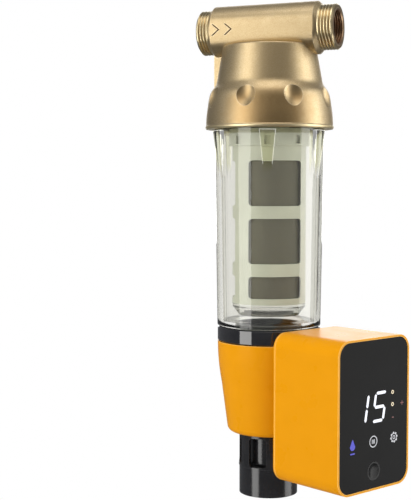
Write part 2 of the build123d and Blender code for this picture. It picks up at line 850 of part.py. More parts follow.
socket_top_z = spout_foot_z + drain_socket_depth
air_gap_top_z = cover_foot_z - air_gap_drop
with BuildPart() as drain_spout:
    with BuildSketch(Plane.XZ):
        spout_inner_r = drain_socket_r - spout_wall / 2
        section(spout_inner_r, spout_r, socket_top_z, gasket_top_z)
        section(spout_inner_r, spout_flange_r, gasket_top_z, gasket_top_z + spout_flange_height)
        section(drain_socket_r, spout_r - spout_wall / 5, spout_foot_z, socket_top_z)
    revolve(axis=Axis.Z)
    for gap in range(air_gap_count):
        with BuildSketch(radial(air_gap_turn + gap * 360 / air_gap_count)):
            with Locations((0, air_gap_top_z - air_gap_height / 2)):
                RectangleRounded(air_gap_width, air_gap_height, air_gap_corner_r)
        extrude(amount=2 * spout_r, mode=Mode.SUBTRACT)
drain_spout.part.label = "drain_spout"
export_step(drain_spout.part, "parts/drain_spout.step")

# Gear train places, in panel coordinates: output on the stem, then two double gears, the motor
output_center = (0, stem_z)
second_center = polar(output_center, gear_module * (output_teeth + pinion_teeth) / 2, 90)
wheel_distance = gear_module * (wheel_teeth + pinion_teeth) / 2
first_center = polar(second_center, wheel_distance, train_turn)
motor_center = polar(first_center, wheel_distance, motor_turn)

# Places of the four lid screws, near the corners of the box
screw_places = [
    (side * (box_width / 2 - pillar_inset), box_mid_z + end * (box_height / 2 - pillar_inset))
    for side in (-1, 1)
    for end in (-1, 1)
]

# Back cover: plate with rounded back edge, locating lip, and the boss into the valve cover
with BuildPart() as back_cover:
    with BuildSketch(facing(box_back)):
        with Locations((0, box_mid_z)):
            RectangleRounded(box_width, box_height, box_corner_r)
    extrude(amount=back_plate)
    fillet(back_cover.faces().sort_by(Axis((0, 0, 0), outward))[0].edges(), box_back_round)
    lip_width = box_width - 2 * box_wall - 2 * lid_fit
    lip_height = box_height - 2 * box_wall - 2 * lid_fit
    lip_corner_r = box_corner_r - box_wall - lid_fit
    with BuildSketch(facing(back_plate_front)):
        with Locations((0, box_mid_z)):
            RectangleRounded(lip_width, lip_height, lip_corner_r)
            RectangleRounded(
                lip_width - 2 * back_lip_wall,
                lip_height - 2 * back_lip_wall,
                lip_corner_r - back_lip_wall,
                mode=Mode.SUBTRACT,
            )
    extrude(amount=back_lip)
    with BuildSketch(facing(valve_r + stem_housing_flange_length + 2 * swivel_gap)):
        with Locations((0, stem_z)):
            Circle(boss_r)
    extrude(until=Until.NEXT)
    with BuildSketch(facing(0)):
        with Locations((0, stem_z)):
            Circle(stem_housing_r + lid_fit)
    extrude(amount=box_front, mode=Mode.SUBTRACT)
    # Standoffs for the gearbox
    with BuildSketch(facing(back_plate_front)):
        with Locations(
            polar(output_center, boss_r - standoff_r, 300),
            polar(second_center, 2 * standoff_r, 60),
            polar(first_center, 2 * standoff_r, 180),
            polar(motor_center, standoff_r, 270),
        ):
            Circle(standoff_r)
    extrude(amount=gearbox_stand)
    with BuildSketch(facing(box_back)):
        with Locations(*screw_places):
            Circle(screw_r + screw_hole_slack)
    extrude(amount=back_plate + back_lip, mode=Mode.SUBTRACT)
    with BuildSketch(facing(box_back)):
        with Locations(*screw_places):
            Circle(screw_head_r + screw_hole_slack)
    extrude(amount=screw_head_height, mode=Mode.SUBTRACT)
back_cover.part.label = "back_cover"
export_step(back_cover.part, "parts/back_cover.step")

# Casing: deep rounded shell, open at the back, with a thin rim round the panel
pillar_start = back_plate_front + back_lip + lid_fit
with BuildPart() as controller_casing:
    with BuildSketch(facing(back_plate_front)):
        with Locations((0, box_mid_z)):
            RectangleRounded(box_width, box_height, box_corner_r)
            RectangleRounded(
                box_width - 2 * box_wall,
                box_height - 2 * box_wall,
                box_corner_r - box_wall,
                mode=Mode.SUBTRACT,
            )
    extrude(amount=box_front - back_plate_front)
    with BuildSketch(facing(panel_back)):
        with Locations((0, box_mid_z)):
            RectangleRounded(
                box_width - 2 * box_rim,
                box_height - 2 * box_rim,
                box_corner_r - box_rim,
            )
    extrude(amount=box_front - panel_back, mode=Mode.SUBTRACT)
    with BuildSketch(facing(pillar_start)):
        with Locations(*screw_places):
            Circle(pillar_r)
    extrude(amount=pillar_length)
    with BuildSketch(facing(pillar_start)):
        with Locations(*screw_places):
            Circle(screw_r + screw_hole_slack)
    extrude(amount=pillar_length - screw_r, mode=Mode.SUBTRACT)
    # Round hole in the underside for the charging inlet
    with BuildSketch(Plane(origin=(inlet_center.X, inlet_center.Y, box_foot_z), x_dir=across)):
        Circle(inlet_flange_r + lid_fit)
    extrude(amount=box_wall, mode=Mode.SUBTRACT)
controller_casing.part.label = "controller_casing"
export_step(controller_casing.part, "parts/controller_casing.step")

# Four identical lid screws with sunk heads
with BuildPart() as lid_screws:
    with BuildSketch(facing(box_back)):
        with Locations(*screw_places):
            Circle(screw_head_r)
    extrude(amount=screw_head_height)
    with BuildSketch(facing(box_back)):
        with Locations(*screw_places):
            Circle(screw_r)
    extrude(amount=screw_length)
lid_screws.part.label = "lid_screws"
export_step(lid_screws.part, "parts/lid_screws.step")

# Charging inlet: block with a round socket, flush with the underside
with BuildPart() as charging_inlet:
    with BuildSketch(Plane(origin=(inlet_center.X, inlet_center.Y, box_foot_z), x_dir=across)):
        Circle(inlet_flange_r)
    extrude(amount=box_wall)
    with BuildSketch(
        Plane(origin=(inlet_center.X, inlet_center.Y, box_foot_z + box_wall), x_dir=across)
    ):
        Rectangle(inlet_body, inlet_body)
    extrude(amount=inlet_body_height)
    with BuildSketch(Plane(origin=(inlet_center.X, inlet_center.Y, box_foot_z), x_dir=across)):
        Circle(inlet_hole_r)
    extrude(amount=inlet_hole_depth, mode=Mode.SUBTRACT)
charging_inlet.part.label = "charging_inlet"
export_step(charging_inlet.part, "parts/charging_inlet.step")

# Front panel: dark glass plate in the casing's rim, with a hole for the button
panel_width = box_width - 2 * box_rim - 2 * panel_fit
panel_height = box_height - 2 * box_rim - 2 * panel_fit
panel_corner_r = box_corner_r - box_rim - panel_fit
button_z = box_foot_z + button_rise
with BuildPart() as front_panel:
    with BuildSketch(facing(panel_back)):
        with Locations((0, box_mid_z)):
            RectangleRounded(panel_width, panel_height, panel_corner_r)
        with Locations((0, button_z)):
            Circle(button_r + button_gap, mode=Mode.SUBTRACT)
    extrude(amount=panel_thickness)
front_panel.part.label = "front_panel"
export_step(front_panel.part, "parts/front_panel.step")

# Display frame: black ring behind the panel that also carries the board
frame_outer_width = box_width - 2 * box_wall - 2 * panel_fit
frame_outer_height = box_height - 2 * box_wall - 2 * panel_fit
frame_corner_r = box_corner_r - box_wall - panel_fit
with BuildPart() as display_frame:
    with BuildSketch(facing(board_front)):
        with Locations((0, box_mid_z)):
            RectangleRounded(frame_outer_width, frame_outer_height, frame_corner_r)
            RectangleRounded(
                frame_outer_width - 2 * frame_width,
                frame_outer_height - 2 * frame_width,
                frame_corner_r - frame_width,
                mode=Mode.SUBTRACT,
            )
    extrude(amount=board_gap)
display_frame.part.label = "display_frame"
export_step(display_frame.part, "parts/display_frame.step")

# Circuit board with its parts: digits, lamps behind the marks, and the button's switch
with BuildPart() as display_board:
    with BuildSketch(facing(board_back)):
        with Locations((0, box_mid_z)):
            RectangleRounded(
                frame_outer_width - 2 * board_margin,
                frame_outer_height - 2 * board_margin,
                frame_corner_r - board_margin,
            )
    extrude(amount=board_thickness)
display_board.part.label = "display_board"
export_step(display_board.part, "parts/display_board.step")

digit_depth = board_gap - lid_fit
with BuildPart() as digit_display:
    with BuildSketch(facing(board_front)):
        with Locations((digit_offset, box_top_z - digit_drop)):
            Rectangle(digit_width, digit_height)
    extrude(amount=digit_depth)
digit_display.part.label = "digit_display"
export_step(digit_display.part, "parts/digit_display.step")

with BuildPart() as indicator_lamps:
    with BuildSketch(facing(board_front)):
        with Locations(*[(place, box_top_z - icon_drop) for place in icon_offsets]):
            Circle(lamp_size / 2)
        with Locations(*[(mark_offset, box_top_z - drop) for drop in mark_drops]):
            Circle(lamp_size / 2)
    extrude(amount=digit_depth)
indicator_lamps.part.label = "indicator_lamps"
export_step(indicator_lamps.part, "parts/indicator_lamps.step")

button_flange_front = panel_back - button_gap
button_flange_back = button_flange_front - button_flange_height
plunger_front = button_flange_back - button_travel - seal_fit
switch_front = (board_front + plunger_front) / 2
with BuildPart() as button_switch:
    with BuildSketch(facing(board_front)):
        with Locations((0, button_z)):
            RectangleRounded(switch_size, switch_size, switch_size / 8)
    extrude(amount=switch_front - board_front)
    with BuildSketch(facing(switch_front)):
        with Locations((0, button_z)):
            Circle(switch_plunger_r)
    extrude(amount=plunger_front - switch_front)
button_switch.part.label = "button_switch"
export_step(button_switch.part, "parts/button_switch.step")

# Button cap: dished round face with a flange behind the panel
button_front = panel_front + button_proud
dish_radius = (button_r**2 + button_dish**2) / (2 * button_dish)
with BuildPart() as power_button:
    with BuildSketch(facing(button_flange_back)):
        with Locations((0, button_z)):
            Circle(button_r + button_flange)
    extrude(amount=button_flange_height)
    with BuildSketch(facing(button_flange_back)):
        with Locations((0, button_z)):
            Circle(button_r)
    extrude(amount=button_front - button_flange_back)
    rim_slack = 0.7
    dish_center = outward * (button_front + dish_radius - button_dish * rim_slack)
    with Locations((dish_center.X, dish_center.Y, button_z)):
        Sphere(dish_radius, mode=Mode.SUBTRACT)
power_button.part.label = "power_button"
export_step(power_button.part, "parts/power_button.step")

def tip_r(teeth):
    return gear_module * (teeth / 2 + 0.9)


def gear_points(teeth, start_angle):
    # Outline of straight-flanked teeth with room for backlash; a tooth stands at the start angle
    root_r = gear_module * (teeth / 2 - 1.2)
    pitch = 360 / teeth
    points = []
    for tooth in range(teeth):
        middle = start_angle + tooth * pitch
        for radius, half in ((root_r, 0.27), (tip_r(teeth), 0.11)):
            points.append(polar((0, 0), radius, middle - half * pitch))
        for radius, half in ((tip_r(teeth), 0.11), (root_r, 0.27)):
            points.append(polar((0, 0), radius, middle + half * pitch))
    return points


def gear_part(center, level, teeth, start_angle, width, bore_r):
    with BuildPart() as gear:
        with BuildSketch(facing(level)):
            with Locations(center):
                Polygon(*gear_points(teeth, start_angle), align=None)
                Circle(bore_r, mode=Mode.SUBTRACT)
        extrude(amount=width)
    return gear.part


half_pinion_pitch = 180 / pinion_teeth
axle_bore_r = axle_r + axle_fit

with BuildPart() as output_gear:
    add(gear_part(output_center, gear_level_a, output_teeth, 90, wheel_width, stem_r + axle_fit))
output_gear.part.label = "output_gear"
export_step(output_gear.part, "parts/output_gear.step")

# Each double gear carries a small pinion below its wheel, with a hub between the two
with BuildPart() as second_gear:
    add(gear_part(second_center, gear_level_b, wheel_teeth, train_turn, wheel_width, axle_bore_r))
    pinion_start = 270 + half_pinion_pitch
    add(
        gear_part(
            second_center,
            gear_level_a,
            pinion_teeth,
            pinion_start,
            wheel_width + wheel_gap,
            axle_bore_r,
        )
    )
second_gear.part.label = "second_gear"
export_step(second_gear.part, "parts/second_gear.step")

with BuildPart() as first_gear:
    add(gear_part(first_center, gear_level_c, wheel_teeth, motor_turn, wheel_width, axle_bore_r))
    pinion_start = train_turn + 180 + half_pinion_pitch
    add(
        gear_part(
            first_center,
            gear_level_b,
            pinion_teeth,
            pinion_start,
            wheel_width + wheel_gap,
            axle_bore_r,
        )
    )
first_gear.part.label = "first_gear"
export_step(first_gear.part, "parts/first_gear.step")

# Motor pinion on its shaft, which runs into the motor
shaft_depth = (motor_front - motor_back) / 3
with BuildPart() as motor_pinion:
    pinion_start = motor_turn + 180 + half_pinion_pitch
    add(
        gear_part(
            motor_center,
            gear_level_c,
            pinion_teeth,
            pinion_start,
            wheel_width,
            motor_shaft_r,
        )
    )
    with BuildSketch(facing(gear_level_c)):
        with Locations(motor_center):
            Circle(motor_shaft_r)
    extrude(amount=motor_back + shaft_depth - gear_level_c)
motor_pinion.part.label = "motor_pinion"
export_step(motor_pinion.part, "parts/motor_pinion.step")

with BuildPart() as gear_axles:
    with BuildSketch(facing(gearbox_back)):
        with Locations(first_center, second_center):
            Circle(axle_r)
    extrude(amount=gearbox_front + gearbox_plate - gearbox_back)
gear_axles.part.label = "gear_axles"
export_step(gear_axles.part, "parts/gear_axles.step")

gear_seats = (
    (output_center, tip_r(output_teeth)),
    (second_center, tip_r(wheel_teeth)),
    (first_center, tip_r(wheel_teeth)),
    (motor_center, motor_flat),
)


def gearbox_outline(margin):
    # Taut outline round all the gears, this far outside their tips
    for center, radius in gear_seats:
        with Locations(center):
            Circle(radius + margin)
    make_hull()


# Gearbox base: tray round the gears, with holes for the stem and the axles
with BuildPart() as gearbox_base:
    with BuildSketch(facing(gearbox_back)):
        gearbox_outline(gearbox_clearance + gearbox_wall)
        with Locations(first_center, second_center):
            Circle(axle_r, mode=Mode.SUBTRACT)
        with Locations(output_center):
            Circle(stem_r + axle_fit, mode=Mode.SUBTRACT)
    extrude(amount=gearbox_front - gearbox_back)
    with BuildSketch(facing(gearbox_back + gearbox_plate)):
        gearbox_outline(gearbox_clearance)
    extrude(amount=gearbox_front - gearbox_back, mode=Mode.SUBTRACT)
gearbox_base.part.label = "gearbox_base"
export_step(gearbox_base.part, "parts/gearbox_base.step")

with BuildPart() as gearbox_lid:
    with BuildSketch(facing(gearbox_front)):
        gearbox_outline(gearbox_clearance + gearbox_wall)
        with Locations(first_center, second_center):
            Circle(axle_r, mode=Mode.SUBTRACT)
        with Locations(motor_center):
            Circle(2 * motor_shaft_r, mode=Mode.SUBTRACT)
    extrude(amount=gearbox_plate)
gearbox_lid.part.label = "gearbox_lid"
export_step(gearbox_lid.part, "parts/gearbox_lid.step")

# Motor can with two flats and a blind bore for the rotor shaft
with BuildPart() as motor:
    with BuildSketch(facing(motor_back)):
        with Locations(motor_center):
            Circle(motor_r)
            Rectangle(2 * motor_r, 2 * motor_flat, mode=Mode.INTERSECT)
    extrude(amount=motor_front - motor_back)
    with BuildSketch(facing(motor_back)):
        with Locations(motor_center):
            Circle(motor_shaft_r + axle_fit)
    extrude(amount=shaft_depth + axle_fit, mode=Mode.SUBTRACT)
motor.part.label = "motor"
export_step(motor.part, "parts/motor.step")

# Two round cells side by side in a tray that stands on the casing's floor
cell_pitch = 2 * cell_r + cell_gap
tray_foot_z = box_foot_z + box_wall + tray_plinth
cell_foot_z = tray_foot_z + tray_wall
with BuildPart() as battery_cells:
    cells_center = outward * cell_depth + across * cell_offset
    with BuildSketch(Plane(origin=(cells_center.X, cells_center.Y, cell_foot_z), x_dir=across)):
        with GridLocations(cell_pitch, 0, 2, 1):
            Circle(cell_r)
    extrude(amount=cell_length)
battery_cells.part.label = "battery_cells"
export_step(battery_cells.part, "parts/battery_cells.step")

with BuildPart() as battery_tray:
    with BuildSketch(Plane(origin=(cells_center.X, cells_center.Y, tray_foot_z), x_dir=across)):
        Rectangle(2 * cell_pitch, 2 * cell_r)
    extrude(amount=cell_length + 2 * tray_wall)
    with BuildSketch(Plane(origin=(cells_center.X, cells_center.Y, tray_foot_z), x_dir=across)):
        Rectangle(tray_plinth_width, cell_r)
    extrude(amount=-tray_plinth)
    with BuildSketch(Plane(origin=(cells_center.X, cells_center.Y, cell_foot_z), x_dir=across)):
        with GridLocations(cell_pitch, 0, 2, 1):
            Circle(cell_r + axle_fit)
        with Locations((0, cell_r)):
            Rectangle(2 * cell_pitch, 2 * cell_r)
    extrude(amount=cell_length, mode=Mode.SUBTRACT)
battery_tray.part.label = "battery_tray"
export_step(battery_tray.part, "parts/battery_tray.step")
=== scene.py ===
from math import atan2, copysign, cos, exp, log, pi, radians, sin

import bmesh
import bpy
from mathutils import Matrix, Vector
from mathutils.bvhtree import BVHTree


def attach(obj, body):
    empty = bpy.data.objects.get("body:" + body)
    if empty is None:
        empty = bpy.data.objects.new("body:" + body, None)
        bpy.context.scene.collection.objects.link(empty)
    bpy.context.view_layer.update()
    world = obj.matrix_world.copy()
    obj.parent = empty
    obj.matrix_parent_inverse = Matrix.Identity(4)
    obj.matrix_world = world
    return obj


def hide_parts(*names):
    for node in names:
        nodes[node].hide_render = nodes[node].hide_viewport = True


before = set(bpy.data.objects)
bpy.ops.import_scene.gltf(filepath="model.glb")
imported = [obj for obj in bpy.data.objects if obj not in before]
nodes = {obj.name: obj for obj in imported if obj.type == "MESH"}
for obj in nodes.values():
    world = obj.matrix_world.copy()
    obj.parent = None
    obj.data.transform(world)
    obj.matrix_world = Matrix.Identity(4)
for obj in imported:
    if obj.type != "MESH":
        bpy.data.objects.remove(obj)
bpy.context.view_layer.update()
print("frame loaded")


# ---- small helpers ----

def setSky(tree):
    # white behind the object, soft light for matt faces, a darker room in reflections
    tree.nodes.clear()
    out = tree.nodes.new("ShaderNodeOutputWorld")
    path = tree.nodes.new("ShaderNodeLightPath")
    shades = []
    for color, strength in (((1, 1, 1, 1), 1.0), (studio["skyColor"], studio["skyStrength"]),
                            (studio["skyColor"], studio["skyMirror"])):
        shade = tree.nodes.new("ShaderNodeBackground")
        shade.inputs["Color"].default_value = color
        shade.inputs["Strength"].default_value = strength
        shades.append(shade)
    either = mathNode(tree, "MAXIMUM", path.outputs["Is Camera Ray"], path.outputs["Is Transmission Ray"])
    inner, outer = tree.nodes.new("ShaderNodeMixShader"), tree.nodes.new("ShaderNodeMixShader")
    tree.links.new(path.outputs["Is Glossy Ray"], inner.inputs[0])
    tree.links.new(shades[1].outputs[0], inner.inputs[1])
    tree.links.new(shades[2].outputs[0], inner.inputs[2])
    tree.links.new(either, outer.inputs[0])
    tree.links.new(inner.outputs[0], outer.inputs[1])
    tree.links.new(shades[0].outputs[0], outer.inputs[2])
    tree.links.new(outer.outputs[0], out.inputs["Surface"])


def softbox(name, azimuth, height, distance, size, power, color):
    data = bpy.data.lights.new(name, "AREA")
    data.shape = "RECTANGLE"
    data.size, data.size_y = size
    data.energy = power
    data.color = color
    lamp = bpy.data.objects.new(name, data)
    bpy.context.scene.collection.objects.link(lamp)
    a = radians(azimuth)
    lamp.location = Vector((sin(a) * distance, -cos(a) * distance, height)) + studio["middle"]
    lamp.rotation_euler = (studio["middle"] - lamp.location).to_track_quat("-Z", "Y").to_euler()
    lamp.visible_transmission = False
    return lamp


def newMaterial(name):
    mat = bpy.data.materials.new(name)
    mat.use_nodes = True
    tree = mat.node_tree
    return mat, tree, tree.nodes["Principled BSDF"]


def addNode(tree, kind, **sockets):
    node = tree.nodes.new("ShaderNode" + kind)
    for key, value in sockets.items():
        node.inputs[key.replace("_", " ")].default_value = value
    return node


def mathNode(tree, operation, first, second=None):
    node = tree.nodes.new("ShaderNodeMath")
    node.operation = operation
    for place, value in enumerate((first, second)):
        if value is None:
            continue
        if hasattr(value, "is_linked"):
            tree.links.new(value, node.inputs[place])
        else:
            node.inputs[place].default_value = value
    return node.outputs[0]


def ramp(tree, source, stops):
    node = tree.nodes.new("ShaderNodeValToRGB")
    while len(node.color_ramp.elements) < len(stops):
        node.color_ramp.elements.new(0.5)
    for element, (place, color) in zip(node.color_ramp.elements, stops):
        element.position = place
        element.color = color if len(color) == 4 else (*color, 1)
    tree.links.new(source, node.inputs["Fac"])
    return node.outputs["Color"]


def mapRange(tree, source, low, high, toLow, toHigh):
    node = tree.nodes.new("ShaderNodeMapRange")
    tree.links.new(source, node.inputs["Value"])
    for key, value in (("From Min", low), ("From Max", high), ("To Min", toLow), ("To Max", toHigh)):
        node.inputs[key].default_value = value
    return node.outputs["Result"]


def mixColor(tree, amount, first, second):
    node = tree.nodes.new("ShaderNodeMix")
    node.data_type = "RGBA"
    for socket, value in ((node.inputs[0], amount), (node.inputs[6], first), (node.inputs[7], second)):
        if hasattr(value, "is_linked"):
            tree.links.new(value, socket)
        else:
            socket.default_value = value if isinstance(value, float) else (*value, 1)
    return node.outputs[2]


def useGroup(tree, group, **values):
    node = tree.nodes.new("ShaderNodeGroup")
    node.node_tree = group
    for key, value in values.items():
        node.inputs[key].default_value = value
    return node


def newGroup(name, inputs, outputs):
    group = bpy.data.node_groups.new(name, "ShaderNodeTree")
    for label, value in inputs:
        socket = group.interface.new_socket(label, in_out="INPUT", socket_type="NodeSocketFloat")
        socket.default_value = value
    for label in outputs:
        group.interface.new_socket(label, in_out="OUTPUT", socket_type="NodeSocketFloat")
    return group, group.nodes.new("NodeGroupInput"), group.nodes.new("NodeGroupOutput")


def addMesh(name, verts, faces, body, material, smooth=40):
    data = bpy.data.meshes.new(name)
    data.from_pydata(verts, [], faces)
    work = bmesh.new()
    work.from_mesh(data)
    bmesh.ops.recalc_face_normals(work, faces=work.faces)
    work.to_mesh(data)
    work.free()
    data.shade_smooth()
    data.set_sharp_from_angle(angle=radians(smooth))
    piece = bpy.data.objects.new(name, data)
    bpy.context.scene.collection.objects.link(piece)
    data.materials.append(material)
    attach(piece, body)
    return piece


def dress(material, *names):
    for name in names:
        data = nodes[name].data
        data.materials.clear()
        data.materials.append(material)


# ---- studio: camera, lights, floor ----

studio = {
    "middle": Vector((0.02, -0.01, -0.16)),
    "skyColor": (0.93, 0.95, 1.0, 1),
    "skyStrength": 0.55,
    "skyMirror": 0.16,
    "cameraPlace": (0.28781, -0.81275, -0.1138),
    "cameraTurn": 22.68,
    "cameraDip": 3.33,
    "lens": 82.43,
    "floorDrop": 0.356,
}

scene = bpy.context.scene
scene.view_settings.view_transform = "Standard"
world = bpy.data.worlds.new("studioSky")
world.use_nodes = True
scene.world = world
setSky(world.node_tree)

cameraData = bpy.data.cameras.new("productCamera")
cameraData.lens = studio["lens"]
cameraData.sensor_width = 36
camera = bpy.data.objects.new("productCamera", cameraData)
scene.collection.objects.link(camera)
camera.location = studio["cameraPlace"]
turn, dip = radians(studio["cameraTurn"]), radians(studio["cameraDip"])
looking = Vector((-cos(dip) * sin(turn), cos(dip) * cos(turn), -sin(dip)))
camera.rotation_euler = looking.to_track_quat("-Z", "Y").to_euler()
cameraData.clip_start, cameraData.clip_end = 0.05, 20
scene.camera = camera

softbox("leftBox", -34, 0.10, 1.2, (0.62, 1.6), 13, (1.0, 0.99, 0.97))
softbox("rightBox", 106, 0.10, 1.2, (0.75, 1.5), 12, (1.0, 0.99, 0.97))
softbox("topBox", 20, 1.1, 0.35, (1.0, 0.8), 5.5, (1.0, 0.97, 0.94))
softbox("backBox", 200, 0.4, 1.3, (1.1, 1.0), 8, (0.97, 0.98, 1.0))

floorMat, tree, shader = newMaterial("paleFloor")
path = addNode(tree, "LightPath")
glow = addNode(tree, "Emission")
card = addNode(tree, "BsdfTransparent")
shader.inputs["Base Color"].default_value = (0.82, 0.82, 0.82, 1)
shader.inputs["Roughness"].default_value = 0.7
mix = addNode(tree, "MixShader")
either = mathNode(tree, "MAXIMUM", path.outputs["Is Camera Ray"], path.outputs["Is Transmission Ray"])
tree.links.new(either, mix.inputs[0])
inner = addNode(tree, "MixShader")
tree.links.new(path.outputs["Is Glossy Ray"], inner.inputs[0])
tree.links.new(shader.outputs[0], inner.inputs[1])
tree.links.new(card.outputs[0], inner.inputs[2])
tree.links.new(inner.outputs[0], mix.inputs[1])
tree.links.new(glow.outputs[0], mix.inputs[2])
tree.links.new(mix.outputs[0], tree.nodes["Material Output"].inputs["Surface"])

floorData = bpy.data.meshes.new("studioFloor")
reach = 3.0
corners = [(-reach, -reach), (reach, -reach), (reach, reach), (-reach, reach)]
floorData.from_pydata([(x, y, -studio["floorDrop"]) for x, y in corners], [], [(0, 1, 2, 3)])
floorData.materials.append(floorMat)
floor = bpy.data.objects.new("studioFloor", floorData)
scene.collection.objects.link(floor)
print("studio ready")


# ---- shared effects ----

# fine two-scale grain: a height for bumps and a tone for colour and roughness
grain, groupIn, groupOut = newGroup("fineGrain", [("Scale", 1200.0)], ["Height", "Tone"])
coord = addNode(grain, "TexCoord")
near = addNode(grain, "TexNoise", Detail=4.0, Roughness=0.6)
wide = addNode(grain, "TexNoise", Detail=3.0, Scale=55.0)
for noise in (near, wide):
    grain.links.new(coord.outputs["Object"], noise.inputs["Vector"])
grain.links.new(groupIn.outputs["Scale"], near.inputs["Scale"])
grain.links.new(near.outputs["Fac"], groupOut.inputs["Height"])
grain.links.new(wide.outputs["Fac"], groupOut.inputs["Tone"])

# edge mask: where the rounded normal leaves the true one; the materials use it for rub wear and for painted edge
# highlights
edges, groupIn, groupOut = newGroup("edgeRub", [("Width", 0.0006)], ["Rub"])
bevel = addNode(edges, "Bevel")
bevel.samples = 4
geo = addNode(edges, "NewGeometry")
dot = edges.nodes.new("ShaderNodeVectorMath")
dot.operation = "DOT_PRODUCT"
edges.links.new(groupIn.outputs["Width"], bevel.inputs["Radius"])
edges.links.new(bevel.outputs["Normal"], dot.inputs[0])
edges.links.new(geo.outputs["Normal"], dot.inputs[1])
rubbed = mapRange(edges, dot.outputs["Value"], 0.999, 0.93, 0.0, 1.0)
edges.links.new(rubbed, groupOut.inputs["Rub"])

# light dust on faces that look up
dust, groupIn, groupOut = newGroup("restingDust", [("Amount", 0.2)], ["Dust"])
coord = addNode(dust, "TexCoord")
geo = addNode(dust, "NewGeometry")
split = addNode(dust, "SeparateXYZ")
specks = addNode(dust, "TexNoise", Scale=420.0, Detail=5.0)
dust.links.new(coord.outputs["Object"], specks.inputs["Vector"])
dust.links.new(geo.outputs["Normal"], split.inputs[0])
up = mapRange(dust, split.outputs["Z"], 0.35, 1.0, 0.0, 1.0)
fleck = mapRange(dust, specks.outputs["Fac"], 0.45, 0.75, 0.0, 1.0)
both = mathNode(dust, "MULTIPLY", up, fleck)
dust.links.new(mathNode(dust, "MULTIPLY", both, groupIn.outputs["Amount"]), groupOut.inputs["Dust"])


def addBump(tree, shader, height, strength, distance):
    bump = addNode(tree, "Bump", Strength=strength, Distance=distance)
    tree.links.new(height, bump.inputs["Height"])
    tree.links.new(bump.outputs["Normal"], shader.inputs["Normal"])


def mouldedPlastic(name, look):
    # moulded plastic: slight tone drift, fine skin, lighter edges (rub wear and a painted edge highlight) and a little
    # dust
    mat, tree, shader = newMaterial(name)
    skin = useGroup(tree, grain, Scale=look["grainScale"])
    rim = useGroup(tree, edges, Width=look["edgeWidth"])
    rest = useGroup(tree, dust, Amount=look["dust"])
    tone = ramp(tree, skin.outputs["Tone"], [(0.3, look["dark"]), (0.7, look["light"])])
    # lighter edge colour: rub wear, and a painted highlight along the rounded rims
    edgeWornAndLit = mixColor(tree, mathNode(tree, "MULTIPLY", rim.outputs["Rub"], look["edgeWearAndSheen"]), tone, look["edge"])
    tree.links.new(mixColor(tree, rest.outputs["Dust"], edgeWornAndLit, (0.72, 0.7, 0.66)), shader.inputs["Base Color"])
    low, high = look["roughness"]
    tree.links.new(mapRange(tree, skin.outputs["Tone"], 0.3, 0.7, low, high), shader.inputs["Roughness"])
    shader.inputs["Specular IOR Level"].default_value = look["specular"]
    shader.inputs["Coat Weight"].default_value = look["coat"]
    shader.inputs["Coat Roughness"].default_value = 0.05
    addBump(tree, shader, skin.outputs["Height"], look["bump"], 0.0001)
    return mat


# ---- brass head ----

brass = {
    "deep": (0.52, 0.405, 0.235), "bell": (0.42, 0.275, 0.125), "turnedSheen": (0.70, 0.575, 0.365), "speck": (0.46, 0.33, 0.16),
    "machined": (0.82, 0.69, 0.42), "inside": (0.46, 0.28, 0.17), "edge": (0.84, 0.75, 0.55),
    "arrowShade": (0.11, 0.065, 0.03), "rootShade": (0.32, 0.19, 0.085),
    "roughness": 0.44, "machinedRoughness": 0.30, "rimTop": -0.0716,
    "nippleStart": 0.0411, "nippleR": 0.01675, "crest": 0.01662,
}
brassMat, tree, shader = newMaterial("castBrass")
skin = useGroup(tree, grain, Scale=1700.0)
coord = addNode(tree, "TexCoord")
place = addNode(tree, "SeparateXYZ")
tree.links.new(coord.outputs["Object"], place.inputs[0])
side = mathNode(tree, "ABSOLUTE", place.outputs["X"])
pipeY = mathNode(tree, "MULTIPLY", place.outputs["Y"], place.outputs["Y"])
pipeZ = mathNode(tree, "MULTIPLY", place.outputs["Z"], place.outputs["Z"])
pipeR = mathNode(tree, "SQRT", mathNode(tree, "ADD", pipeY, pipeZ))
# nipples and the rim's lip are machined, the rest is blasted
onNipple = mathNode(tree, "MULTIPLY", mathNode(tree, "GREATER_THAN", side, brass["nippleStart"]),
                    mathNode(tree, "LESS_THAN", pipeR, brass["nippleR"]))
onRim = mathNode(tree, "LESS_THAN", place.outputs["Z"], brass["rimTop"])
machined = mathNode(tree, "MAXIMUM", onNipple, onRim)
# painted shade: the inside of the pipe sockets is coloured a darker, redder brown
socketShade = mathNode(tree, "MULTIPLY", onNipple, mathNode(tree, "LESS_THAN", pipeR, 0.0136))
# painted shade: the thread roots are coloured a dark brown
rootShade = mapRange(tree, pipeR, brass["crest"] - 0.0011, brass["crest"] - 0.0003, 1.0, 0.0)
rootShade = mathNode(tree, "MULTIPLY", mathNode(tree, "MULTIPLY", rootShade, onNipple), mathNode(tree, "GREATER_THAN", pipeR, 0.0140))
# blasted brass: painted shade makes it browner face on to the view, and a painted sheen makes it paler where it turns
# away
turned = addNode(tree, "LayerWeight", Blend=0.5)
blotch = addNode(tree, "TexNoise", Scale=42.0, Detail=4.0, Roughness=0.65)
tree.links.new(coord.outputs["Object"], blotch.inputs["Vector"])
away = mathNode(tree, "ADD", turned.outputs["Facing"], mapRange(tree, blotch.outputs["Fac"], 0.3, 0.7, -0.10, 0.10))
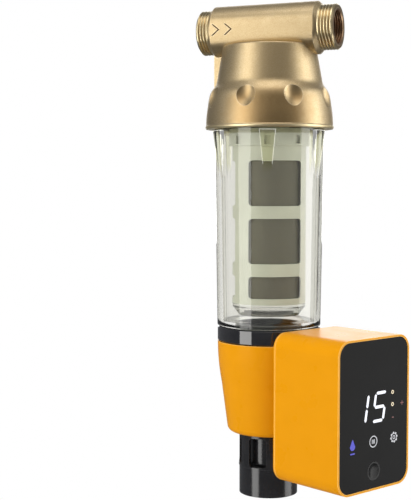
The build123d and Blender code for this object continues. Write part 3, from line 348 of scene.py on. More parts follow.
# painted shade: the bell below the neck is coloured a darker brown
lower = mapRange(tree, place.outputs["Z"], -0.040, -0.052, 0.0, 1.0)
faceOnShade = mixColor(tree, lower, brass["deep"], brass["bell"])
tone = mixColor(tree, mapRange(tree, away, 0.08, 0.42, 0.0, 1.0), faceOnShade, brass["turnedSheen"])
speck = mapRange(tree, skin.outputs["Height"], 0.40, 0.64, 0.0, 0.7)
tone = mixColor(tree, speck, tone, brass["speck"])
tone = mixColor(tree, machined, tone, brass["machined"])
tone = mixColor(tree, mathNode(tree, "MULTIPLY", rootShade, 0.7), tone, brass["rootShade"])
tone = mixColor(tree, mathNode(tree, "MULTIPLY", socketShade, 0.85), tone, brass["inside"])
# paler edges away from the nipples: rub wear and a painted edge highlight
rim = useGroup(tree, edges, Width=0.0011)
onEdge = mathNode(tree, "MULTIPLY", rim.outputs["Rub"], mathNode(tree, "SUBTRACT", 0.40, onNipple))
tone = mixColor(tree, mathNode(tree, "MAXIMUM", onEdge, 0.0), tone, brass["edge"])
# painted shade: the faces inside the cast arrows are coloured near black
arrowShadeMask = addNode(tree, "Attribute")
arrowShadeMask.attribute_name = "arrowCutShade"
tone = mixColor(tree, arrowShadeMask.outputs["Fac"], tone, brass["arrowShade"])
tree.links.new(tone, shader.inputs["Base Color"])
shader.inputs["Metallic"].default_value = 1.0
satin = mapRange(tree, skin.outputs["Height"], 0.3, 0.7, brass["roughness"] - 0.05, brass["roughness"] + 0.09)
polish = mapRange(tree, onNipple, 0.0, 1.0, 1.0, brass["machinedRoughness"] / brass["roughness"])
tree.links.new(mathNode(tree, "MULTIPLY", satin, polish), shader.inputs["Roughness"])
height = mathNode(tree, "MULTIPLY", skin.outputs["Height"], mapRange(tree, machined, 0.0, 1.0, 1.0, 0.05))
addBump(tree, shader, height, 0.5, 0.00012)


def mergedCopy(name, merge=2e-6):
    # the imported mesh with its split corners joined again, ready for cuts
    data = nodes[name].data.copy()
    work = bmesh.new()
    work.from_mesh(data)
    bmesh.ops.remove_doubles(work, verts=work.verts, dist=merge)
    work.to_mesh(data)
    work.free()
    return data


def trueNormals(name):
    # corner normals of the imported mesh, looked up by place
    data = nodes[name].data
    data.calc_loop_triangles()
    corners = [tri.vertices[:] for tri in data.loop_triangles]
    loops = [tri.loops[:] for tri in data.loop_triangles]
    turns = [bellTwist(vert.co) for vert in data.vertices]
    shaped = [flattened(twisted(vert.co, angle)) for vert, angle in zip(data.vertices, turns)]
    points = [point for point, slope in shaped]
    normals = []
    for item, loop in zip(data.corner_normals, data.loops):
        normal = twisted(item.vector, turns[loop.vertex_index])
        slope = max(0.05, shaped[loop.vertex_index][1])
        normals.append(Vector((normal.x, normal.y / slope, normal.z)).normalized())
    tree = BVHTree.FromPolygons(points, corners)

    def lookup(point):
        hit, flat, index, distance = tree.find_nearest(point)
        a, b, c = (points[k] for k in corners[index])
        na, nb, nc = (normals[k] for k in loops[index])
        whole = (b - a).cross(c - a)
        area = whole.length_squared or 1.0
        u = (c - b).cross(hit - b).dot(whole) / area
        v = (a - c).cross(hit - c).dot(whole) / area
        return (na * u + nb * v + nc * (1 - u - v)).normalized(), distance

    return lookup


def threadGrid(spec, side):
    # one turned surface whose rows follow the helix, so that every ridge stays clean
    turns, perPitch = 96, 12
    step = spec["pitch"] / perPitch
    count = int((spec["end"] - spec["start"]) / step) + perPitch + 1
    verts, faces = [], []
    for row in range(count + 1):
        phase = row / perPitch
        ridge = 0.5 + 0.5 * cos(2 * pi * phase)
        ridge = ridge ** spec["sharp"]
        for turn in range(turns + 1):
            along = spec["start"] - spec["pitch"] + row * step + spec["pitch"] * turn / turns
            edge = min(along - spec["start"], spec["end"] - along)
            fade = max(0.0, min(1.0, edge / spec["runout"]))
            along = min(spec["end"], max(spec["start"], along))
            radius = spec["crest"] + spec["depth"] * (1 - ridge) * fade
            angle = side * 2 * pi * turn / turns
            verts.append((side * along, radius * cos(angle), radius * sin(angle)))
    wide = turns + 1
    for row in range(count):
        for turn in range(turns):
            a, b = row * wide + turn, row * wide + turn + 1
            quad = (a, b, b + wide, a + wide)
            xs = [verts[corner][0] for corner in quad]
            if max(xs) - min(xs) > step * 0.3:
                faces.append(quad)
    return verts, faces


# grooves go in from the crest outside, and outwards from the crest in the sockets
pitch = {"pipe": 0.002309, "socket": 0.001814}
outerThreads = {
    -1: {"start": 0.04365, "end": 0.0521, "crest": 0.01662, "depth": -0.00100, "pitch": pitch["pipe"],
         "runout": 0.0008, "sharp": 0.8},
    1: {"start": 0.04095, "end": 0.0521, "crest": 0.01662, "depth": -0.00100, "pitch": pitch["pipe"],
        "runout": 0.0008, "sharp": 0.8},
}
innerThread = {"start": 0.03815, "end": 0.05235, "crest": 0.01206, "depth": 0.00105, "pitch": pitch["socket"],
               "runout": 0.0006, "sharp": 0.8}

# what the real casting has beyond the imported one: longer barrel ends, flats, a web and cast arrows
casting = {"ends": {-1: 0.04365, 1: 0.04095}, "ringStart": 0.0355, "ringR": 0.0193, "ringInner": 0.0142,
           "chamfer": 0.0025, "cut": (0.0355, 0.0522, 0.0150, 0.01935), "flatY": 0.0176, "flatSoft": 0.0008,
           "frontY": 0.01748, "webHalf": 0.0040,
           "web": ((-0.04305, -0.0140), (-0.04305, -0.0465), (-0.0400, -0.0465), (-0.0370, -0.0383), (-0.0330, -0.0140)),
           "bellTurn": -3.0, "turnStart": -0.024, "turnEnd": -0.037, "neckTop": -0.0119}
arrow = {"tips": (-0.0333, -0.0234), "length": 0.0052, "half": 0.0042, "width": 0.0011,
         "centre": 0.0002, "deep": 0.0009, "out": 0.0012}


def bellTwist(point):
    # the bell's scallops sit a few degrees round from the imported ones
    share = (casting["turnStart"] - point.z) / (casting["turnStart"] - casting["turnEnd"])
    return radians(casting["bellTurn"]) * max(0.0, min(1.0, share))


def twisted(vector, angle):
    return Vector((vector.x * cos(angle) - vector.y * sin(angle), vector.x * sin(angle) + vector.y * cos(angle), vector.z))


def cutTool(name, verts, faces):
    # closed helper body for a boolean, with its faces turned outwards
    data = bpy.data.meshes.new(name)
    data.from_pydata(verts, [], faces)
    work = bmesh.new()
    work.from_mesh(data)
    bmesh.ops.recalc_face_normals(work, faces=work.faces)
    work.to_mesh(data)
    work.free()
    tool = bpy.data.objects.new(name, data)
    scene.collection.objects.link(tool)
    return tool


def prism(outline, half):
    # an outline in x and z, as thick as twice the half
    count = len(outline)
    verts = [(x, y, z) for y in (-half, half) for x, z in outline]
    faces = [tuple(range(count)), tuple(range(count, 2 * count))]
    faces += [(k, (k + 1) % count, (k + 1) % count + count, k + count) for k in range(count)]
    return verts, faces


def endRing(side):
    # one end of the barrel, turned round the pipe axis
    end, outer, inner = casting["ends"][side], casting["ringR"], casting["ringInner"]
    profile = [(casting["ringStart"], inner), (casting["ringStart"], outer)]
    profile += [(end - casting["chamfer"] * (1 - step / 6), outer - casting["chamfer"] * step / 6) for step in range(7)]
    profile.append((end, inner))
    count, wide = 256, len(profile)
    verts = [flattened(Vector((side * x, r * cos(2 * pi * turn / count), r * sin(2 * pi * turn / count))))[0]
             for turn in range(count) for x, r in profile]
    faces = []
    for turn in range(count):
        row, following = turn * wide, (turn + 1) % count * wide
        faces += [(row + k, row + (k + 1) % wide, following + (k + 1) % wide, following + k) for k in range(wide)]
    return verts, faces


def flattened(point):
    # the barrel's front and back are softly flat: its y and how much of the slope is left
    excess = (casting["flatY"] - abs(point.y)) / casting["flatSoft"]
    if point.z < casting["neckTop"] or excess > 20:
        return point, 1.0
    y = casting["flatY"] - casting["flatSoft"] * log(1 + exp(excess))
    return Vector((point.x, copysign(y, point.y), point.z)), 1 / (1 + exp(-excess))


def chevrons():
    # two open arrow heads on the flat front of the barrel
    verts, faces = [], []
    for tip in arrow["tips"]:
        base = len(verts)
        for share in (-1, 0, 1):
            back = tip - arrow["length"] * abs(share)
            for x in (back, back - arrow["width"] * 1.35):
                for lift in (-arrow["deep"], arrow["out"]):
                    verts.append((x, -casting["frontY"] - lift, arrow["centre"] + arrow["half"] * share))
        for a in (base, base + 4):
            b = a + 4
            faces += [(a, a + 1, b + 1, b), (a + 1, a + 3, b + 3, b + 1), (a + 3, a + 2, b + 2, b + 3), (a + 2, a, b, b + 2)]
        faces += [(base, base + 2, base + 3, base + 1), (base + 8, base + 9, base + 11, base + 10)]
    return verts, faces


castData = mergedCopy("head_casting")
for vert in castData.vertices:
    vert.co = flattened(twisted(vert.co, bellTwist(vert.co)))[0]
rough = bpy.data.objects.new("roughHead", castData)
scene.collection.objects.link(rough)
chevronTool = cutTool("chevrons", *chevrons())
inletRing = cutTool("inletRing", *endRing(-1))
outletRing = cutTool("outletRing", *endRing(1))
webBlock = cutTool("webBlock", *prism(casting["web"], casting["webHalf"]))
for item in (rough, inletRing):
    cut = item.modifiers.new("chevrons", "BOOLEAN")
    cut.operation = "DIFFERENCE"
    cut.solver = "EXACT"
    cut.object = chevronTool
bpy.context.view_layer.update()
graph = bpy.context.evaluated_depsgraph_get()
headData, ringData = (bpy.data.meshes.new_from_object(item.evaluated_get(graph)) for item in (rough, inletRing))
added = [ringData, outletRing.data, webBlock.data]
for item in (rough, inletRing, outletRing, webBlock, chevronTool):
    bpy.data.objects.remove(item)

# plain thread cylinders come out, ridged ones go in
work = bmesh.new()
work.from_mesh(headData)


def onBarrelEnd(vert, side):
    low, high, inner, outer = casting["cut"]
    return low - 2e-6 < side * vert.co.x < high and inner < (vert.co.y ** 2 + vert.co.z ** 2) ** 0.5 < outer


def onCylinder(vert, spec, side):
    radius = (vert.co.y ** 2 + vert.co.z ** 2) ** 0.5
    within = 0.0376 < side * vert.co.x < spec["end"] + 1.5e-4
    return within and abs(radius - spec["crest"]) < 4e-5


plain = []
for side in (-1, 1):
    bmesh.ops.bisect_plane(work, geom=work.verts[:] + work.edges[:] + work.faces[:],
                           plane_co=(side * casting["ringStart"], 0, 0), plane_no=(1, 0, 0))
    plain += [face for face in work.faces if all(onBarrelEnd(vert, side) for vert in face.verts)
              or all(onCylinder(vert, innerThread, side) for vert in face.verts)]
bmesh.ops.delete(work, geom=plain, context="FACES")
for extra in added:
    work.from_mesh(extra)
inside = [face for face in work.faces for end in (-casting["ringStart"], casting["ringStart"])
          if all(abs(vert.co.x - end) < 2e-6 for vert in face.verts)]
bmesh.ops.delete(work, geom=inside, context="FACES")
ridged = work.faces.layers.int.new("ridged")
for side in (-1, 1):
    for spec in (outerThreads[side], innerThread):
        verts, faces = threadGrid(spec, side)
        made = [work.verts.new(point) for point in verts]
        for face in faces:
            built = work.faces.new([made[corner] for corner in face])
            built.smooth = True
            built[ridged] = 1
            # the outer ridges face out and the socket's ridges face in
            built.normal_update()
            centre = built.calc_center_median()
            outward = built.normal.dot(Vector((0, centre.y, centre.z)))
            if (outward < 0) != (spec is innerThread):
                built.normal_flip()
loose = [vert for vert in work.verts if not vert.link_faces]
bmesh.ops.delete(work, geom=loose, context="VERTS")
work.to_mesh(headData)
work.free()
headData.name = "brassHead"
headData.materials.clear()
headData.materials.append(brassMat)
headData.shade_smooth()

# the cut faces keep flat normals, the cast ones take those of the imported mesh
lookup = trueNormals("head_casting")
marks = headData.attributes["ridged"].data
arrowCutShade = headData.attributes.new("arrowCutShade", "FLOAT", "FACE").data
custom = [Vector((0, 0, 0))] * len(headData.loops)
for face in headData.polygons:
    if marks[face.index].value:
        continue
    middle = face.center
    # faces inside the arrow cuts get the painted shade
    inArrow = abs(middle.z) < 0.0048 and arrow["tips"][0] - 0.008 < middle.x < arrow["tips"][1] + 0.001
    if inArrow and -casting["frontY"] + 0.0002 < middle.y < -casting["frontY"] + 2 * arrow["deep"]:
        arrowCutShade[face.index].value = 1.0
    for loop in face.loop_indices:
        point = headData.vertices[headData.loops[loop].vertex_index].co
        inward = point.lerp(face.center, 0.02)
        normal, distance = lookup(inward)
        custom[loop] = normal if distance < 6e-5 and normal.dot(face.normal) > 0.5 else face.normal.copy()
headData.normals_split_custom_set(custom)
brassHead = bpy.data.objects.new("brassHead", headData)
scene.collection.objects.link(brassHead)
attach(brassHead, "head")
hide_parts("head_casting")
print("head ready", len(plain), "plain thread faces replaced")


# ---- clear bowl ----

bowlLook = {"tint": (0.87, 0.865, 0.83), "grazeShade": (0.50, 0.49, 0.36), "rib": (0.72, 0.72, 0.40), "foot": (0.30, 0.29, 0.18),
            "underRimShade": (0.52, 0.50, 0.37), "underZ": -0.0768, "wallTop": (-0.0735, 0.04105), "wallFoot": (-0.2205, 0.03875), "roughness": 0.02,
            "seams": (-128.4, -7.0), "seamHalf": 0.00016, "seamTop": -0.108, "seamTone": (0.10, 0.10, 0.08), "ribFlankHighlight": 0.3,
            "ribEdge": 0.0009, "ribEdgeHighlight": 0.75}
bowlMat, tree, shader = newMaterial("clearBowl")
skin = useGroup(tree, grain, Scale=900.0)
coord = addNode(tree, "TexCoord")
place = addNode(tree, "SeparateXYZ")
tree.links.new(coord.outputs["Object"], place.inputs[0])
# painted shade: the wall is coloured darker and olive where it turns away from the view
turned = addNode(tree, "LayerWeight", Blend=0.5)
tone = ramp(tree, turned.outputs["Facing"], [(0.45, bowlLook["tint"]), (0.95, bowlLook["grazeShade"])])
# the resin looks greener in the ribs; the band just under the brass rim is darkened as painted shade
wallX = mathNode(tree, "MULTIPLY", place.outputs["X"], place.outputs["X"])
wallY = mathNode(tree, "MULTIPLY", place.outputs["Y"], place.outputs["Y"])
wallR = mathNode(tree, "SQRT", mathNode(tree, "ADD", wallX, wallY))
(topZ, topR), (footZ, footR) = bowlLook["wallTop"], bowlLook["wallFoot"]
stand = mathNode(tree, "SUBTRACT", wallR, mapRange(tree, place.outputs["Z"], footZ, topZ, footR, topR))
onRib = mapRange(tree, stand, 0.0003, 0.0010, 0.0, 0.8)
tone = mixColor(tree, onRib, tone, bowlLook["rib"])
under = mapRange(tree, place.outputs["Z"], bowlLook["underZ"] - 0.0012, bowlLook["underZ"], 0.0, 1.0)
tone = mixColor(tree, under, tone, bowlLook["underRimShade"])
# two mould seams run down from the feet of the side ribs
below = mathNode(tree, "LESS_THAN", place.outputs["Z"], bowlLook["seamTop"])
for seam in bowlLook["seams"]:
    a = radians(seam)
    off = mathNode(tree, "SUBTRACT", mathNode(tree, "MULTIPLY", place.outputs["X"], sin(a)),
                   mathNode(tree, "MULTIPLY", place.outputs["Y"], cos(a)))
    ahead = mathNode(tree, "ADD", mathNode(tree, "MULTIPLY", place.outputs["X"], cos(a)),
                     mathNode(tree, "MULTIPLY", place.outputs["Y"], sin(a)))
    line = mapRange(tree, mathNode(tree, "ABSOLUTE", off), bowlLook["seamHalf"], 2 * bowlLook["seamHalf"], 1.0, 0.0)
    line = mathNode(tree, "MULTIPLY", mathNode(tree, "MULTIPLY", line, below), mathNode(tree, "GREATER_THAN", ahead, 0.02))
    tone = mixColor(tree, line, tone, bowlLook["seamTone"])
tree.links.new(tone, shader.inputs["Base Color"])
# painted highlight: emission makes the flanks and edges of the upper ribs glow
geo = addNode(tree, "NewGeometry")
facing = addNode(tree, "SeparateXYZ")
tree.links.new(geo.outputs["Normal"], facing.inputs[0])
outward = mathNode(tree, "ADD", mathNode(tree, "MULTIPLY", facing.outputs["X"], place.outputs["X"]),
                   mathNode(tree, "MULTIPLY", facing.outputs["Y"], place.outputs["Y"]))
outward = mathNode(tree, "ABSOLUTE", mathNode(tree, "DIVIDE", outward, wallR))
flank = mapRange(tree, outward, 0.45, 0.75, 1.0, 0.0)
flank = mathNode(tree, "MULTIPLY", flank, mathNode(tree, "GREATER_THAN", stand, 0.0001))
flank = mathNode(tree, "MULTIPLY", flank, mathNode(tree, "LESS_THAN", mathNode(tree, "ABSOLUTE", facing.outputs["Z"]), 0.5))
flank = mathNode(tree, "MULTIPLY", flank, mathNode(tree, "GREATER_THAN", place.outputs["Z"], -0.112))
outline = useGroup(tree, edges, Width=bowlLook["ribEdge"])
onFace = mathNode(tree, "MULTIPLY", mathNode(tree, "GREATER_THAN", stand, 0.0010), mathNode(tree, "GREATER_THAN", place.outputs["Z"], -0.112))
outline = mathNode(tree, "MULTIPLY", outline.outputs["Rub"], mathNode(tree, "MULTIPLY", onFace, bowlLook["ribEdgeHighlight"]))
paintedRibHighlight = mathNode(tree, "MAXIMUM", mathNode(tree, "MULTIPLY", flank, bowlLook["ribFlankHighlight"]), outline)
tree.links.new(paintedRibHighlight, shader.inputs["Emission Strength"])
shader.inputs["Transmission Weight"].default_value = 1.0
shader.inputs["IOR"].default_value = 1.49
tree.links.new(mapRange(tree, skin.outputs["Tone"], 0.3, 0.7, bowlLook["roughness"], 0.05),
               shader.inputs["Roughness"])
ripple = addNode(tree, "TexNoise", Scale=60.0, Detail=2.0)
tree.links.new(coord.outputs["Object"], ripple.inputs["Vector"])
addBump(tree, shader, ripple.outputs["Fac"], 0.08, 0.0006)
clear = addNode(tree, "BsdfTransparent")
clear.inputs["Color"].default_value = (0.90, 0.93, 0.86, 1)
path = addNode(tree, "LightPath")
thru = mathNode(tree, "MAXIMUM", path.outputs["Is Shadow Ray"], path.outputs["Is Diffuse Ray"])
mix = addNode(tree, "MixShader")
tree.links.new(thru, mix.inputs[0])
tree.links.new(shader.outputs[0], mix.inputs[1])
tree.links.new(clear.outputs[0], mix.inputs[2])
tree.links.new(mix.outputs[0], tree.nodes["Material Output"].inputs["Surface"])
dress(bowlMat, "clear_bowl", "cartridge_base")

cageLook = {"dark": (0.56, 0.54, 0.475), "light": (0.63, 0.61, 0.54), "edge": (0.9, 0.9, 0.85), "edgeWearAndSheen": 0.3,
            "roughness": (0.32, 0.42), "specular": 0.4, "coat": 0.0, "bump": 0.15, "dust": 0.0,
            "grainScale": 700.0, "edgeWidth": 0.0004}
cageMat = mouldedPlastic("paleCage", cageLook)
dress(cageMat, "cartridge_cage", "cartridge_cap")

# woven steel screen: two crossed waves round the sleeve
weave = {"wire": (0.15, 0.135, 0.095), "gap": (0.045, 0.04, 0.03), "radius": 0.0252, "pitch": 0.00032}
meshMat, tree, shader = newMaterial("steelScreen")
coord = addNode(tree, "TexCoord")
place = addNode(tree, "SeparateXYZ")
tree.links.new(coord.outputs["Object"], place.inputs[0])
turned = mathNode(tree, "ARCTAN2", place.outputs["Y"], place.outputs["X"])
round_ = mathNode(tree, "MULTIPLY", turned, 2 * pi * weave["radius"] / weave["pitch"])
upright = mathNode(tree, "MULTIPLY", place.outputs["Z"], 2 * pi / weave["pitch"])
across = mathNode(tree, "ABSOLUTE", mathNode(tree, "SINE", round_))
along = mathNode(tree, "ABSOLUTE", mathNode(tree, "SINE", upright))
wires = mathNode(tree, "MAXIMUM", across, along)
drift = addNode(tree, "TexNoise", Scale=70.0, Detail=3.0)
tree.links.new(coord.outputs["Object"], drift.inputs["Vector"])
tone = ramp(tree, wires, [(0.55, weave["gap"]), (0.85, weave["wire"])])
tone = mixColor(tree, mapRange(tree, drift.outputs["Fac"], 0.3, 0.7, 0.0, 0.35), tone, (0.13, 0.115, 0.085))
tree.links.new(tone, shader.inputs["Base Color"])
shader.inputs["Metallic"].default_value = 0.45
tree.links.new(mapRange(tree, drift.outputs["Fac"], 0.3, 0.7, 0.42, 0.55), shader.inputs["Roughness"])
addBump(tree, shader, wires, 0.5, 0.00008)
dress(meshMat, "mesh_sleeve")
print("bowl ready")


# ---- black and orange plastics ----

nutLook = {"dark": (0.010, 0.010, 0.012), "light": (0.017, 0.017, 0.019), "edge": (0.06, 0.06, 0.065), "edgeWearAndSheen": 0.4,
           "roughness": (0.04, 0.07), "specular": 0.8, "coat": 0.25, "bump": 0.02, "dust": 0.03,
           "grainScale": 500.0, "edgeWidth": 0.0004}
nutMat = mouldedPlastic("glossBlack", nutLook)
dress(nutMat, "union_nut")

spoutLook = {"dark": (0.012, 0.012, 0.013), "light": (0.020, 0.020, 0.022), "edge": (0.07, 0.07, 0.075), "edgeWearAndSheen": 0.5,
             "roughness": (0.16, 0.26), "specular": 0.5, "coat": 0.15, "bump": 0.08, "dust": 0.1,
             "grainScale": 900.0, "edgeWidth": 0.0005}
spoutMat = mouldedPlastic("satinBlack", spoutLook)
dress(spoutMat, "drain_spout", "charging_inlet", "spout_gasket")

# the drain nozzle reaches down behind the windows of the spout
nozzle = {"top": -0.2992, "foot": -0.3245, "outer": 0.0153, "neck": 0.0124, "inner": 0.0090, "lip": 0.0006}
profile = [(nozzle["inner"], nozzle["top"]), (nozzle["neck"], nozzle["top"]), (nozzle["outer"], nozzle["top"] - 0.003),
           (nozzle["outer"], nozzle["foot"] + nozzle["lip"]),
           (nozzle["outer"] - nozzle["lip"], nozzle["foot"]), (nozzle["inner"] + nozzle["lip"], nozzle["foot"]),
           (nozzle["inner"], nozzle["foot"] + nozzle["lip"])]
count, wide = 72, len(profile)
verts = [(r * cos(2 * pi * turn / count), r * sin(2 * pi * turn / count), z) for turn in range(count) for r, z in profile]
faces = [(turn * wide + k, (turn + 1) % count * wide + k, (turn + 1) % count * wide + (k + 1) % wide, turn * wide + (k + 1) % wide)
         for turn in range(count) for k in range(wide)]
addMesh("drainNozzle", verts, faces, "controller", spoutMat, smooth=30)

# the pale edge colour is a painted highlight along the rounded rims of the shell
orangeLook = {"dark": (0.71, 0.285, 0.0005), "light": (0.735, 0.298, 0.0008), "edge": (1.0, 0.62, 0.18), "edgeWearAndSheen": 0.8,
              "roughness": (0.26, 0.32), "specular": 0.10, "coat": 0.0, "bump": 0.04, "dust": 0.03,
              "grainScale": 1600.0, "edgeWidth": 0.0009}
orangeMat = mouldedPlastic("orangeShell", orangeLook)
dress(orangeMat, "valve_cover", "controller_casing", "back_cover")

panelLook = {"dark": (0.007, 0.007, 0.007), "light": (0.010, 0.010, 0.010), "edge": (0.05, 0.05, 0.05), "edgeWearAndSheen": 0.6,
             "roughness": (0.30, 0.38), "specular": 0.045, "coat": 0.0, "bump": 0.015, "dust": 0.0,
             "grainScale": 2200.0, "edgeWidth": 0.0003}
panelMat = mouldedPlastic("darkPanel", panelLook)
dress(panelMat, "front_panel")

# the button's lighter edge ring is a painted highlight
buttonLook = dict(panelLook, roughness=(0.16, 0.22), specular=0.10, edgeWearAndSheen=0.9, edge=(0.03, 0.03, 0.03))
buttonMat = mouldedPlastic("dishedButton", buttonLook)
dress(buttonMat, "power_button")
print("plastics ready")


# ---- inner pieces ----

rubberLook = {"dark": (0.015, 0.015, 0.015), "light": (0.03, 0.03, 0.03), "edge": (0.06, 0.06, 0.06), "edgeWearAndSheen": 0.3,
              "roughness": (0.55, 0.7), "specular": 0.35, "coat": 0.0, "bump": 0.2, "dust": 0.1,
              "grainScale": 1500.0, "edgeWidth": 0.0003}
rubberMat = mouldedPlastic("sealRubber", rubberLook)
dress(rubberMat, "cartridge_seal", "bowl_seal", "swivel_seal", "stem_seals")

whiteLook = {"dark": (0.76, 0.75, 0.71), "light": (0.86, 0.85, 0.81), "edge": (0.92, 0.92, 0.9), "edgeWearAndSheen": 0.3,
             "roughness": (0.38, 0.5), "specular": 0.4, "coat": 0.0, "bump": 0.12, "dust": 0.05,
             "grainScale": 900.0, "edgeWidth": 0.0003}
whiteMat = mouldedPlastic("paleMoulding", whiteLook)
dress(whiteMat, "upper_seat", "lower_seat", "output_gear", "second_gear", "first_gear", "gearbox_base",
      "gearbox_lid", "indicator_lamps")

bodyLook = dict(spoutLook, roughness=(0.35, 0.45), coat=0.0)
bodyMat = mouldedPlastic("blackMoulding", bodyLook)
dress(bodyMat, "valve_body", "valve_end_cap", "stem_housing", "display_frame", "digit_display", "battery_tray",
      "button_switch")


def metal(name, look):
    mat, tree, shader = newMaterial(name)
    skin = useGroup(tree, grain, Scale=look["grainScale"])
    rim = useGroup(tree, edges, Width=0.0003)
    tone = ramp(tree, skin.outputs["Tone"], [(0.3, look["dark"]), (0.7, look["light"])])
    # lighter edges: rub wear and a painted edge highlight
    tree.links.new(mixColor(tree, mathNode(tree, "MULTIPLY", rim.outputs["Rub"], 0.4), tone, look["edge"]),
                   shader.inputs["Base Color"])
    shader.inputs["Metallic"].default_value = 1.0
    low, high = look["roughness"]
    tree.links.new(mapRange(tree, skin.outputs["Tone"], 0.3, 0.7, low, high), shader.inputs["Roughness"])
    addBump(tree, shader, skin.outputs["Height"], look["bump"], 0.00006)
    return mat


steelMat = metal("brushedSteel", {"dark": (0.42, 0.42, 0.42), "light": (0.58, 0.58, 0.57), "edge": (0.75, 0.75, 0.74),
                                  "roughness": (0.26, 0.38), "bump": 0.15, "grainScale": 1400.0})
dress(steelMat, "valve_stem", "gear_axles", "motor_pinion", "motor", "lid_screws")
chromeMat = metal("chromedBall", {"dark": (0.62, 0.62, 0.63), "light": (0.74, 0.74, 0.75), "edge": (0.85, 0.85, 0.85),
                                  "roughness": (0.06, 0.10), "bump": 0.03, "grainScale": 900.0})
dress(chromeMat, "valve_ball")

boardLook = dict(bodyLook, dark=(0.012, 0.10, 0.045), light=(0.02, 0.15, 0.07), edge=(0.3, 0.28, 0.15))
dress(mouldedPlastic("solderBoard", boardLook), "display_board")
wrapLook = dict(nutLook, dark=(0.05, 0.18, 0.30), light=(0.07, 0.24, 0.38), edge=(0.3, 0.4, 0.5), coat=0.2)
dress(mouldedPlastic("cellWrap", wrapLook), "battery_cells")
print("inner pieces ready")


# ---- lit display ----

panel = {"front": 0.1042, "stand": 0.00006, "out": Vector((0.89726, -0.44151, 0)), "across": Vector((0.44151, 0.89726, 0))}


def panelPoint(t, z, lift=0.0):
    # a point on the panel: t to the right, z up, both in metres
    point = panel["out"] * (panel["front"] + lift) + panel["across"] * t
    return (point.x, point.y, z)


def glowMaterial(name, color, strength, edge):
    mat, tree, shader = newMaterial(name)
    coord = addNode(tree, "TexCoord")
    cells = addNode(tree, "TexNoise", Scale=900.0, Detail=2.0)
    tree.links.new(coord.outputs["Object"], cells.inputs["Vector"])
    tone = ramp(tree, cells.outputs["Fac"], [(0.3, edge), (0.6, color)])
    tree.links.new(tone, shader.inputs["Emission Color"])
    shader.inputs["Emission Strength"].default_value = strength
    shader.inputs["Base Color"].default_value = (0.02, 0.02, 0.02, 1)
    tree.links.new(mapRange(tree, cells.outputs["Fac"], 0.3, 0.7, 0.3, 0.45), shader.inputs["Roughness"])
    return mat


def flatShape(verts, faces, outline):
    # adds one closed outline as a thin plate, lit face outwards
    base = len(verts)
    count = len(outline)
    verts += [panelPoint(t, z, -0.0001) for t, z in outline] + [panelPoint(t, z, panel["stand"]) for t, z in outline]
    faces.append(tuple(range(base + count, base + 2 * count)))
    faces.append(tuple(range(base + count - 1, base - 1, -1)))
    for k in range(count):
        after = (k + 1) % count
        faces.append((base + k, base + after, base + count + after, base + count + k))


def segment(verts, faces, start, end, width):
    # one bar with pointed ends
    direction = (Vector(end) - Vector(start)).normalized()
    normal = Vector((-direction.y, direction.x))
    a, b = Vector(start), Vector(end)
    inner = width / 2
    outline = [a, a + direction * inner + normal * inner, b - direction * inner + normal * inner, b,
               b - direction * inner - normal * inner, a + direction * inner - normal * inner]
    flatShape(verts, faces, [(p.x, p.y) for p in outline])


digits = {"top": -0.2576, "foot": -0.2790, "slant": 0.19, "bar": 0.0021, "gap": 0.0004,
          "fiveLeft": 0.0022, "fiveRight": 0.0132, "oneX": -0.0054}


def slanted(t, z):
    return (t - (digits["top"] - z) * digits["slant"], z)


def digitBars():
    verts, faces = [], []
    top, foot, bar, gap = digits["top"] - digits["bar"] / 2, digits["foot"] + digits["bar"] / 2, digits["bar"], digits["gap"]
    middle = (top + foot) / 2
    left, right, one = digits["fiveLeft"], digits["fiveRight"], digits["oneX"]
    uprights = [(one, top, middle), (one, middle, foot), (left, top, middle), (right, middle, foot)]
    for t, high, low in uprights:
        segment(verts, faces, slanted(t, high - gap), slanted(t, low + gap), bar)
    for z in (top, middle, foot):
        segment(verts, faces, slanted(left + gap, z), slanted(right - gap, z), bar)
    return verts, faces


whiteGlow = glowMaterial("whiteGlow", (0.95, 0.96, 1.0), 1.15, (0.8, 0.84, 1.0))
verts, faces = digitBars()
addMesh("litDigits", verts, faces, "controller", whiteGlow, smooth=20)


def ringShape(verts, faces, centre, inner, outer, count=40, bumps=0, depth=0.0):
    # flat ring, with square teeth round it where bumps are given
    base = len(verts)
    for k in range(count):
        angle = 2 * pi * k / count
        tooth = depth if bumps and (k * bumps // (count // 2)) % 2 == 0 else 0.0
        for radius in (inner, outer + tooth):
            t, z = centre[0] + radius * cos(angle), centre[1] + radius * sin(angle)
            verts.append(panelPoint(t, z, panel["stand"]))
    for k in range(count):
        a, b = base + 2 * k, base + 2 * ((k + 1) % count)
        faces.append((a, a + 1, b + 1, b))


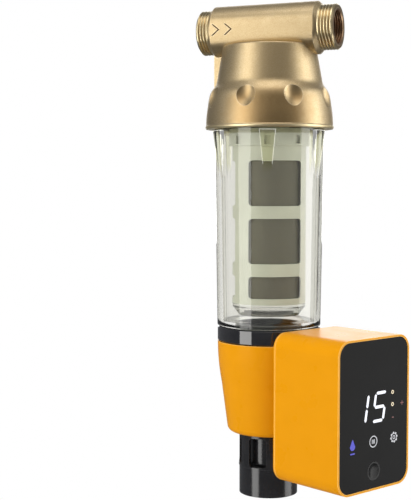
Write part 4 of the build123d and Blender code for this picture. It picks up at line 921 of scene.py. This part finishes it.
# round wash mark and toothed settings mark, both plain signs of their kind
verts, faces = [], []
ringShape(verts, faces, (-0.0005, -0.2919), 0.0034, 0.0041)
for shift in (-0.0012, 0.0, 0.0012):
    segment(verts, faces, (shift - 0.0005, -0.2903), (shift - 0.0005, -0.2935), 0.0006)
ringShape(verts, faces, (0.0214, -0.2920), 0.0025, 0.0031, count=64, bumps=8, depth=0.0008)
ringShape(verts, faces, (0.0214, -0.2920), 0.0008, 0.0014)
dimWhite = glowMaterial("dimWhiteGlow", (0.62, 0.63, 0.66), 1.0, (0.45, 0.46, 0.5))
addMesh("whiteMarks", verts, faces, "controller", dimWhite, smooth=20)

# small unit marks beside the digits
verts, faces = [], []
for z in (-0.2597, -0.2683):
    ringShape(verts, faces, (0.0196, z), 0.0007, 0.0014, count=24)
amber = glowMaterial("amberGlow", (1.0, 0.88, 0.62), 1.0, (0.9, 0.7, 0.4))
addMesh("unitMarks", verts, faces, "controller", amber, smooth=20)

verts, faces = [], []
segment(verts, faces, (0.0281, -0.2685), (0.0317, -0.2685), 0.0007)
segment(verts, faces, (0.0299, -0.2668), (0.0299, -0.2702), 0.0007)
segment(verts, faces, (0.0190, -0.2776), (0.0212, -0.2776), 0.0008)
dimRed = glowMaterial("dimRedGlow", (0.16, 0.012, 0.008), 1.0, (0.08, 0.006, 0.004))
addMesh("redMarks", verts, faces, "controller", dimRed, smooth=20)

# blue water drop over a line
verts, faces = [], []
drop = []
for k in range(28):
    angle = 2 * pi * k / 28
    stretch = 1.0 + (0.9 if sin(angle) > 0 else 0.0) * max(0.0, sin(angle)) ** 3
    drop.append((-0.0220 + 0.0026 * cos(angle) * (1 - 0.35 * max(0.0, sin(angle))), -0.2925 + 0.0026 * sin(angle) * stretch))
flatShape(verts, faces, drop)
segment(verts, faces, (-0.0245, -0.2974), (-0.0195, -0.2974), 0.0010)
blue = glowMaterial("blueGlow", (0.012, 0.012, 0.60), 1.0, (0.006, 0.006, 0.30))
addMesh("blueMark", verts, faces, "controller", blue, smooth=20)
print("display ready")
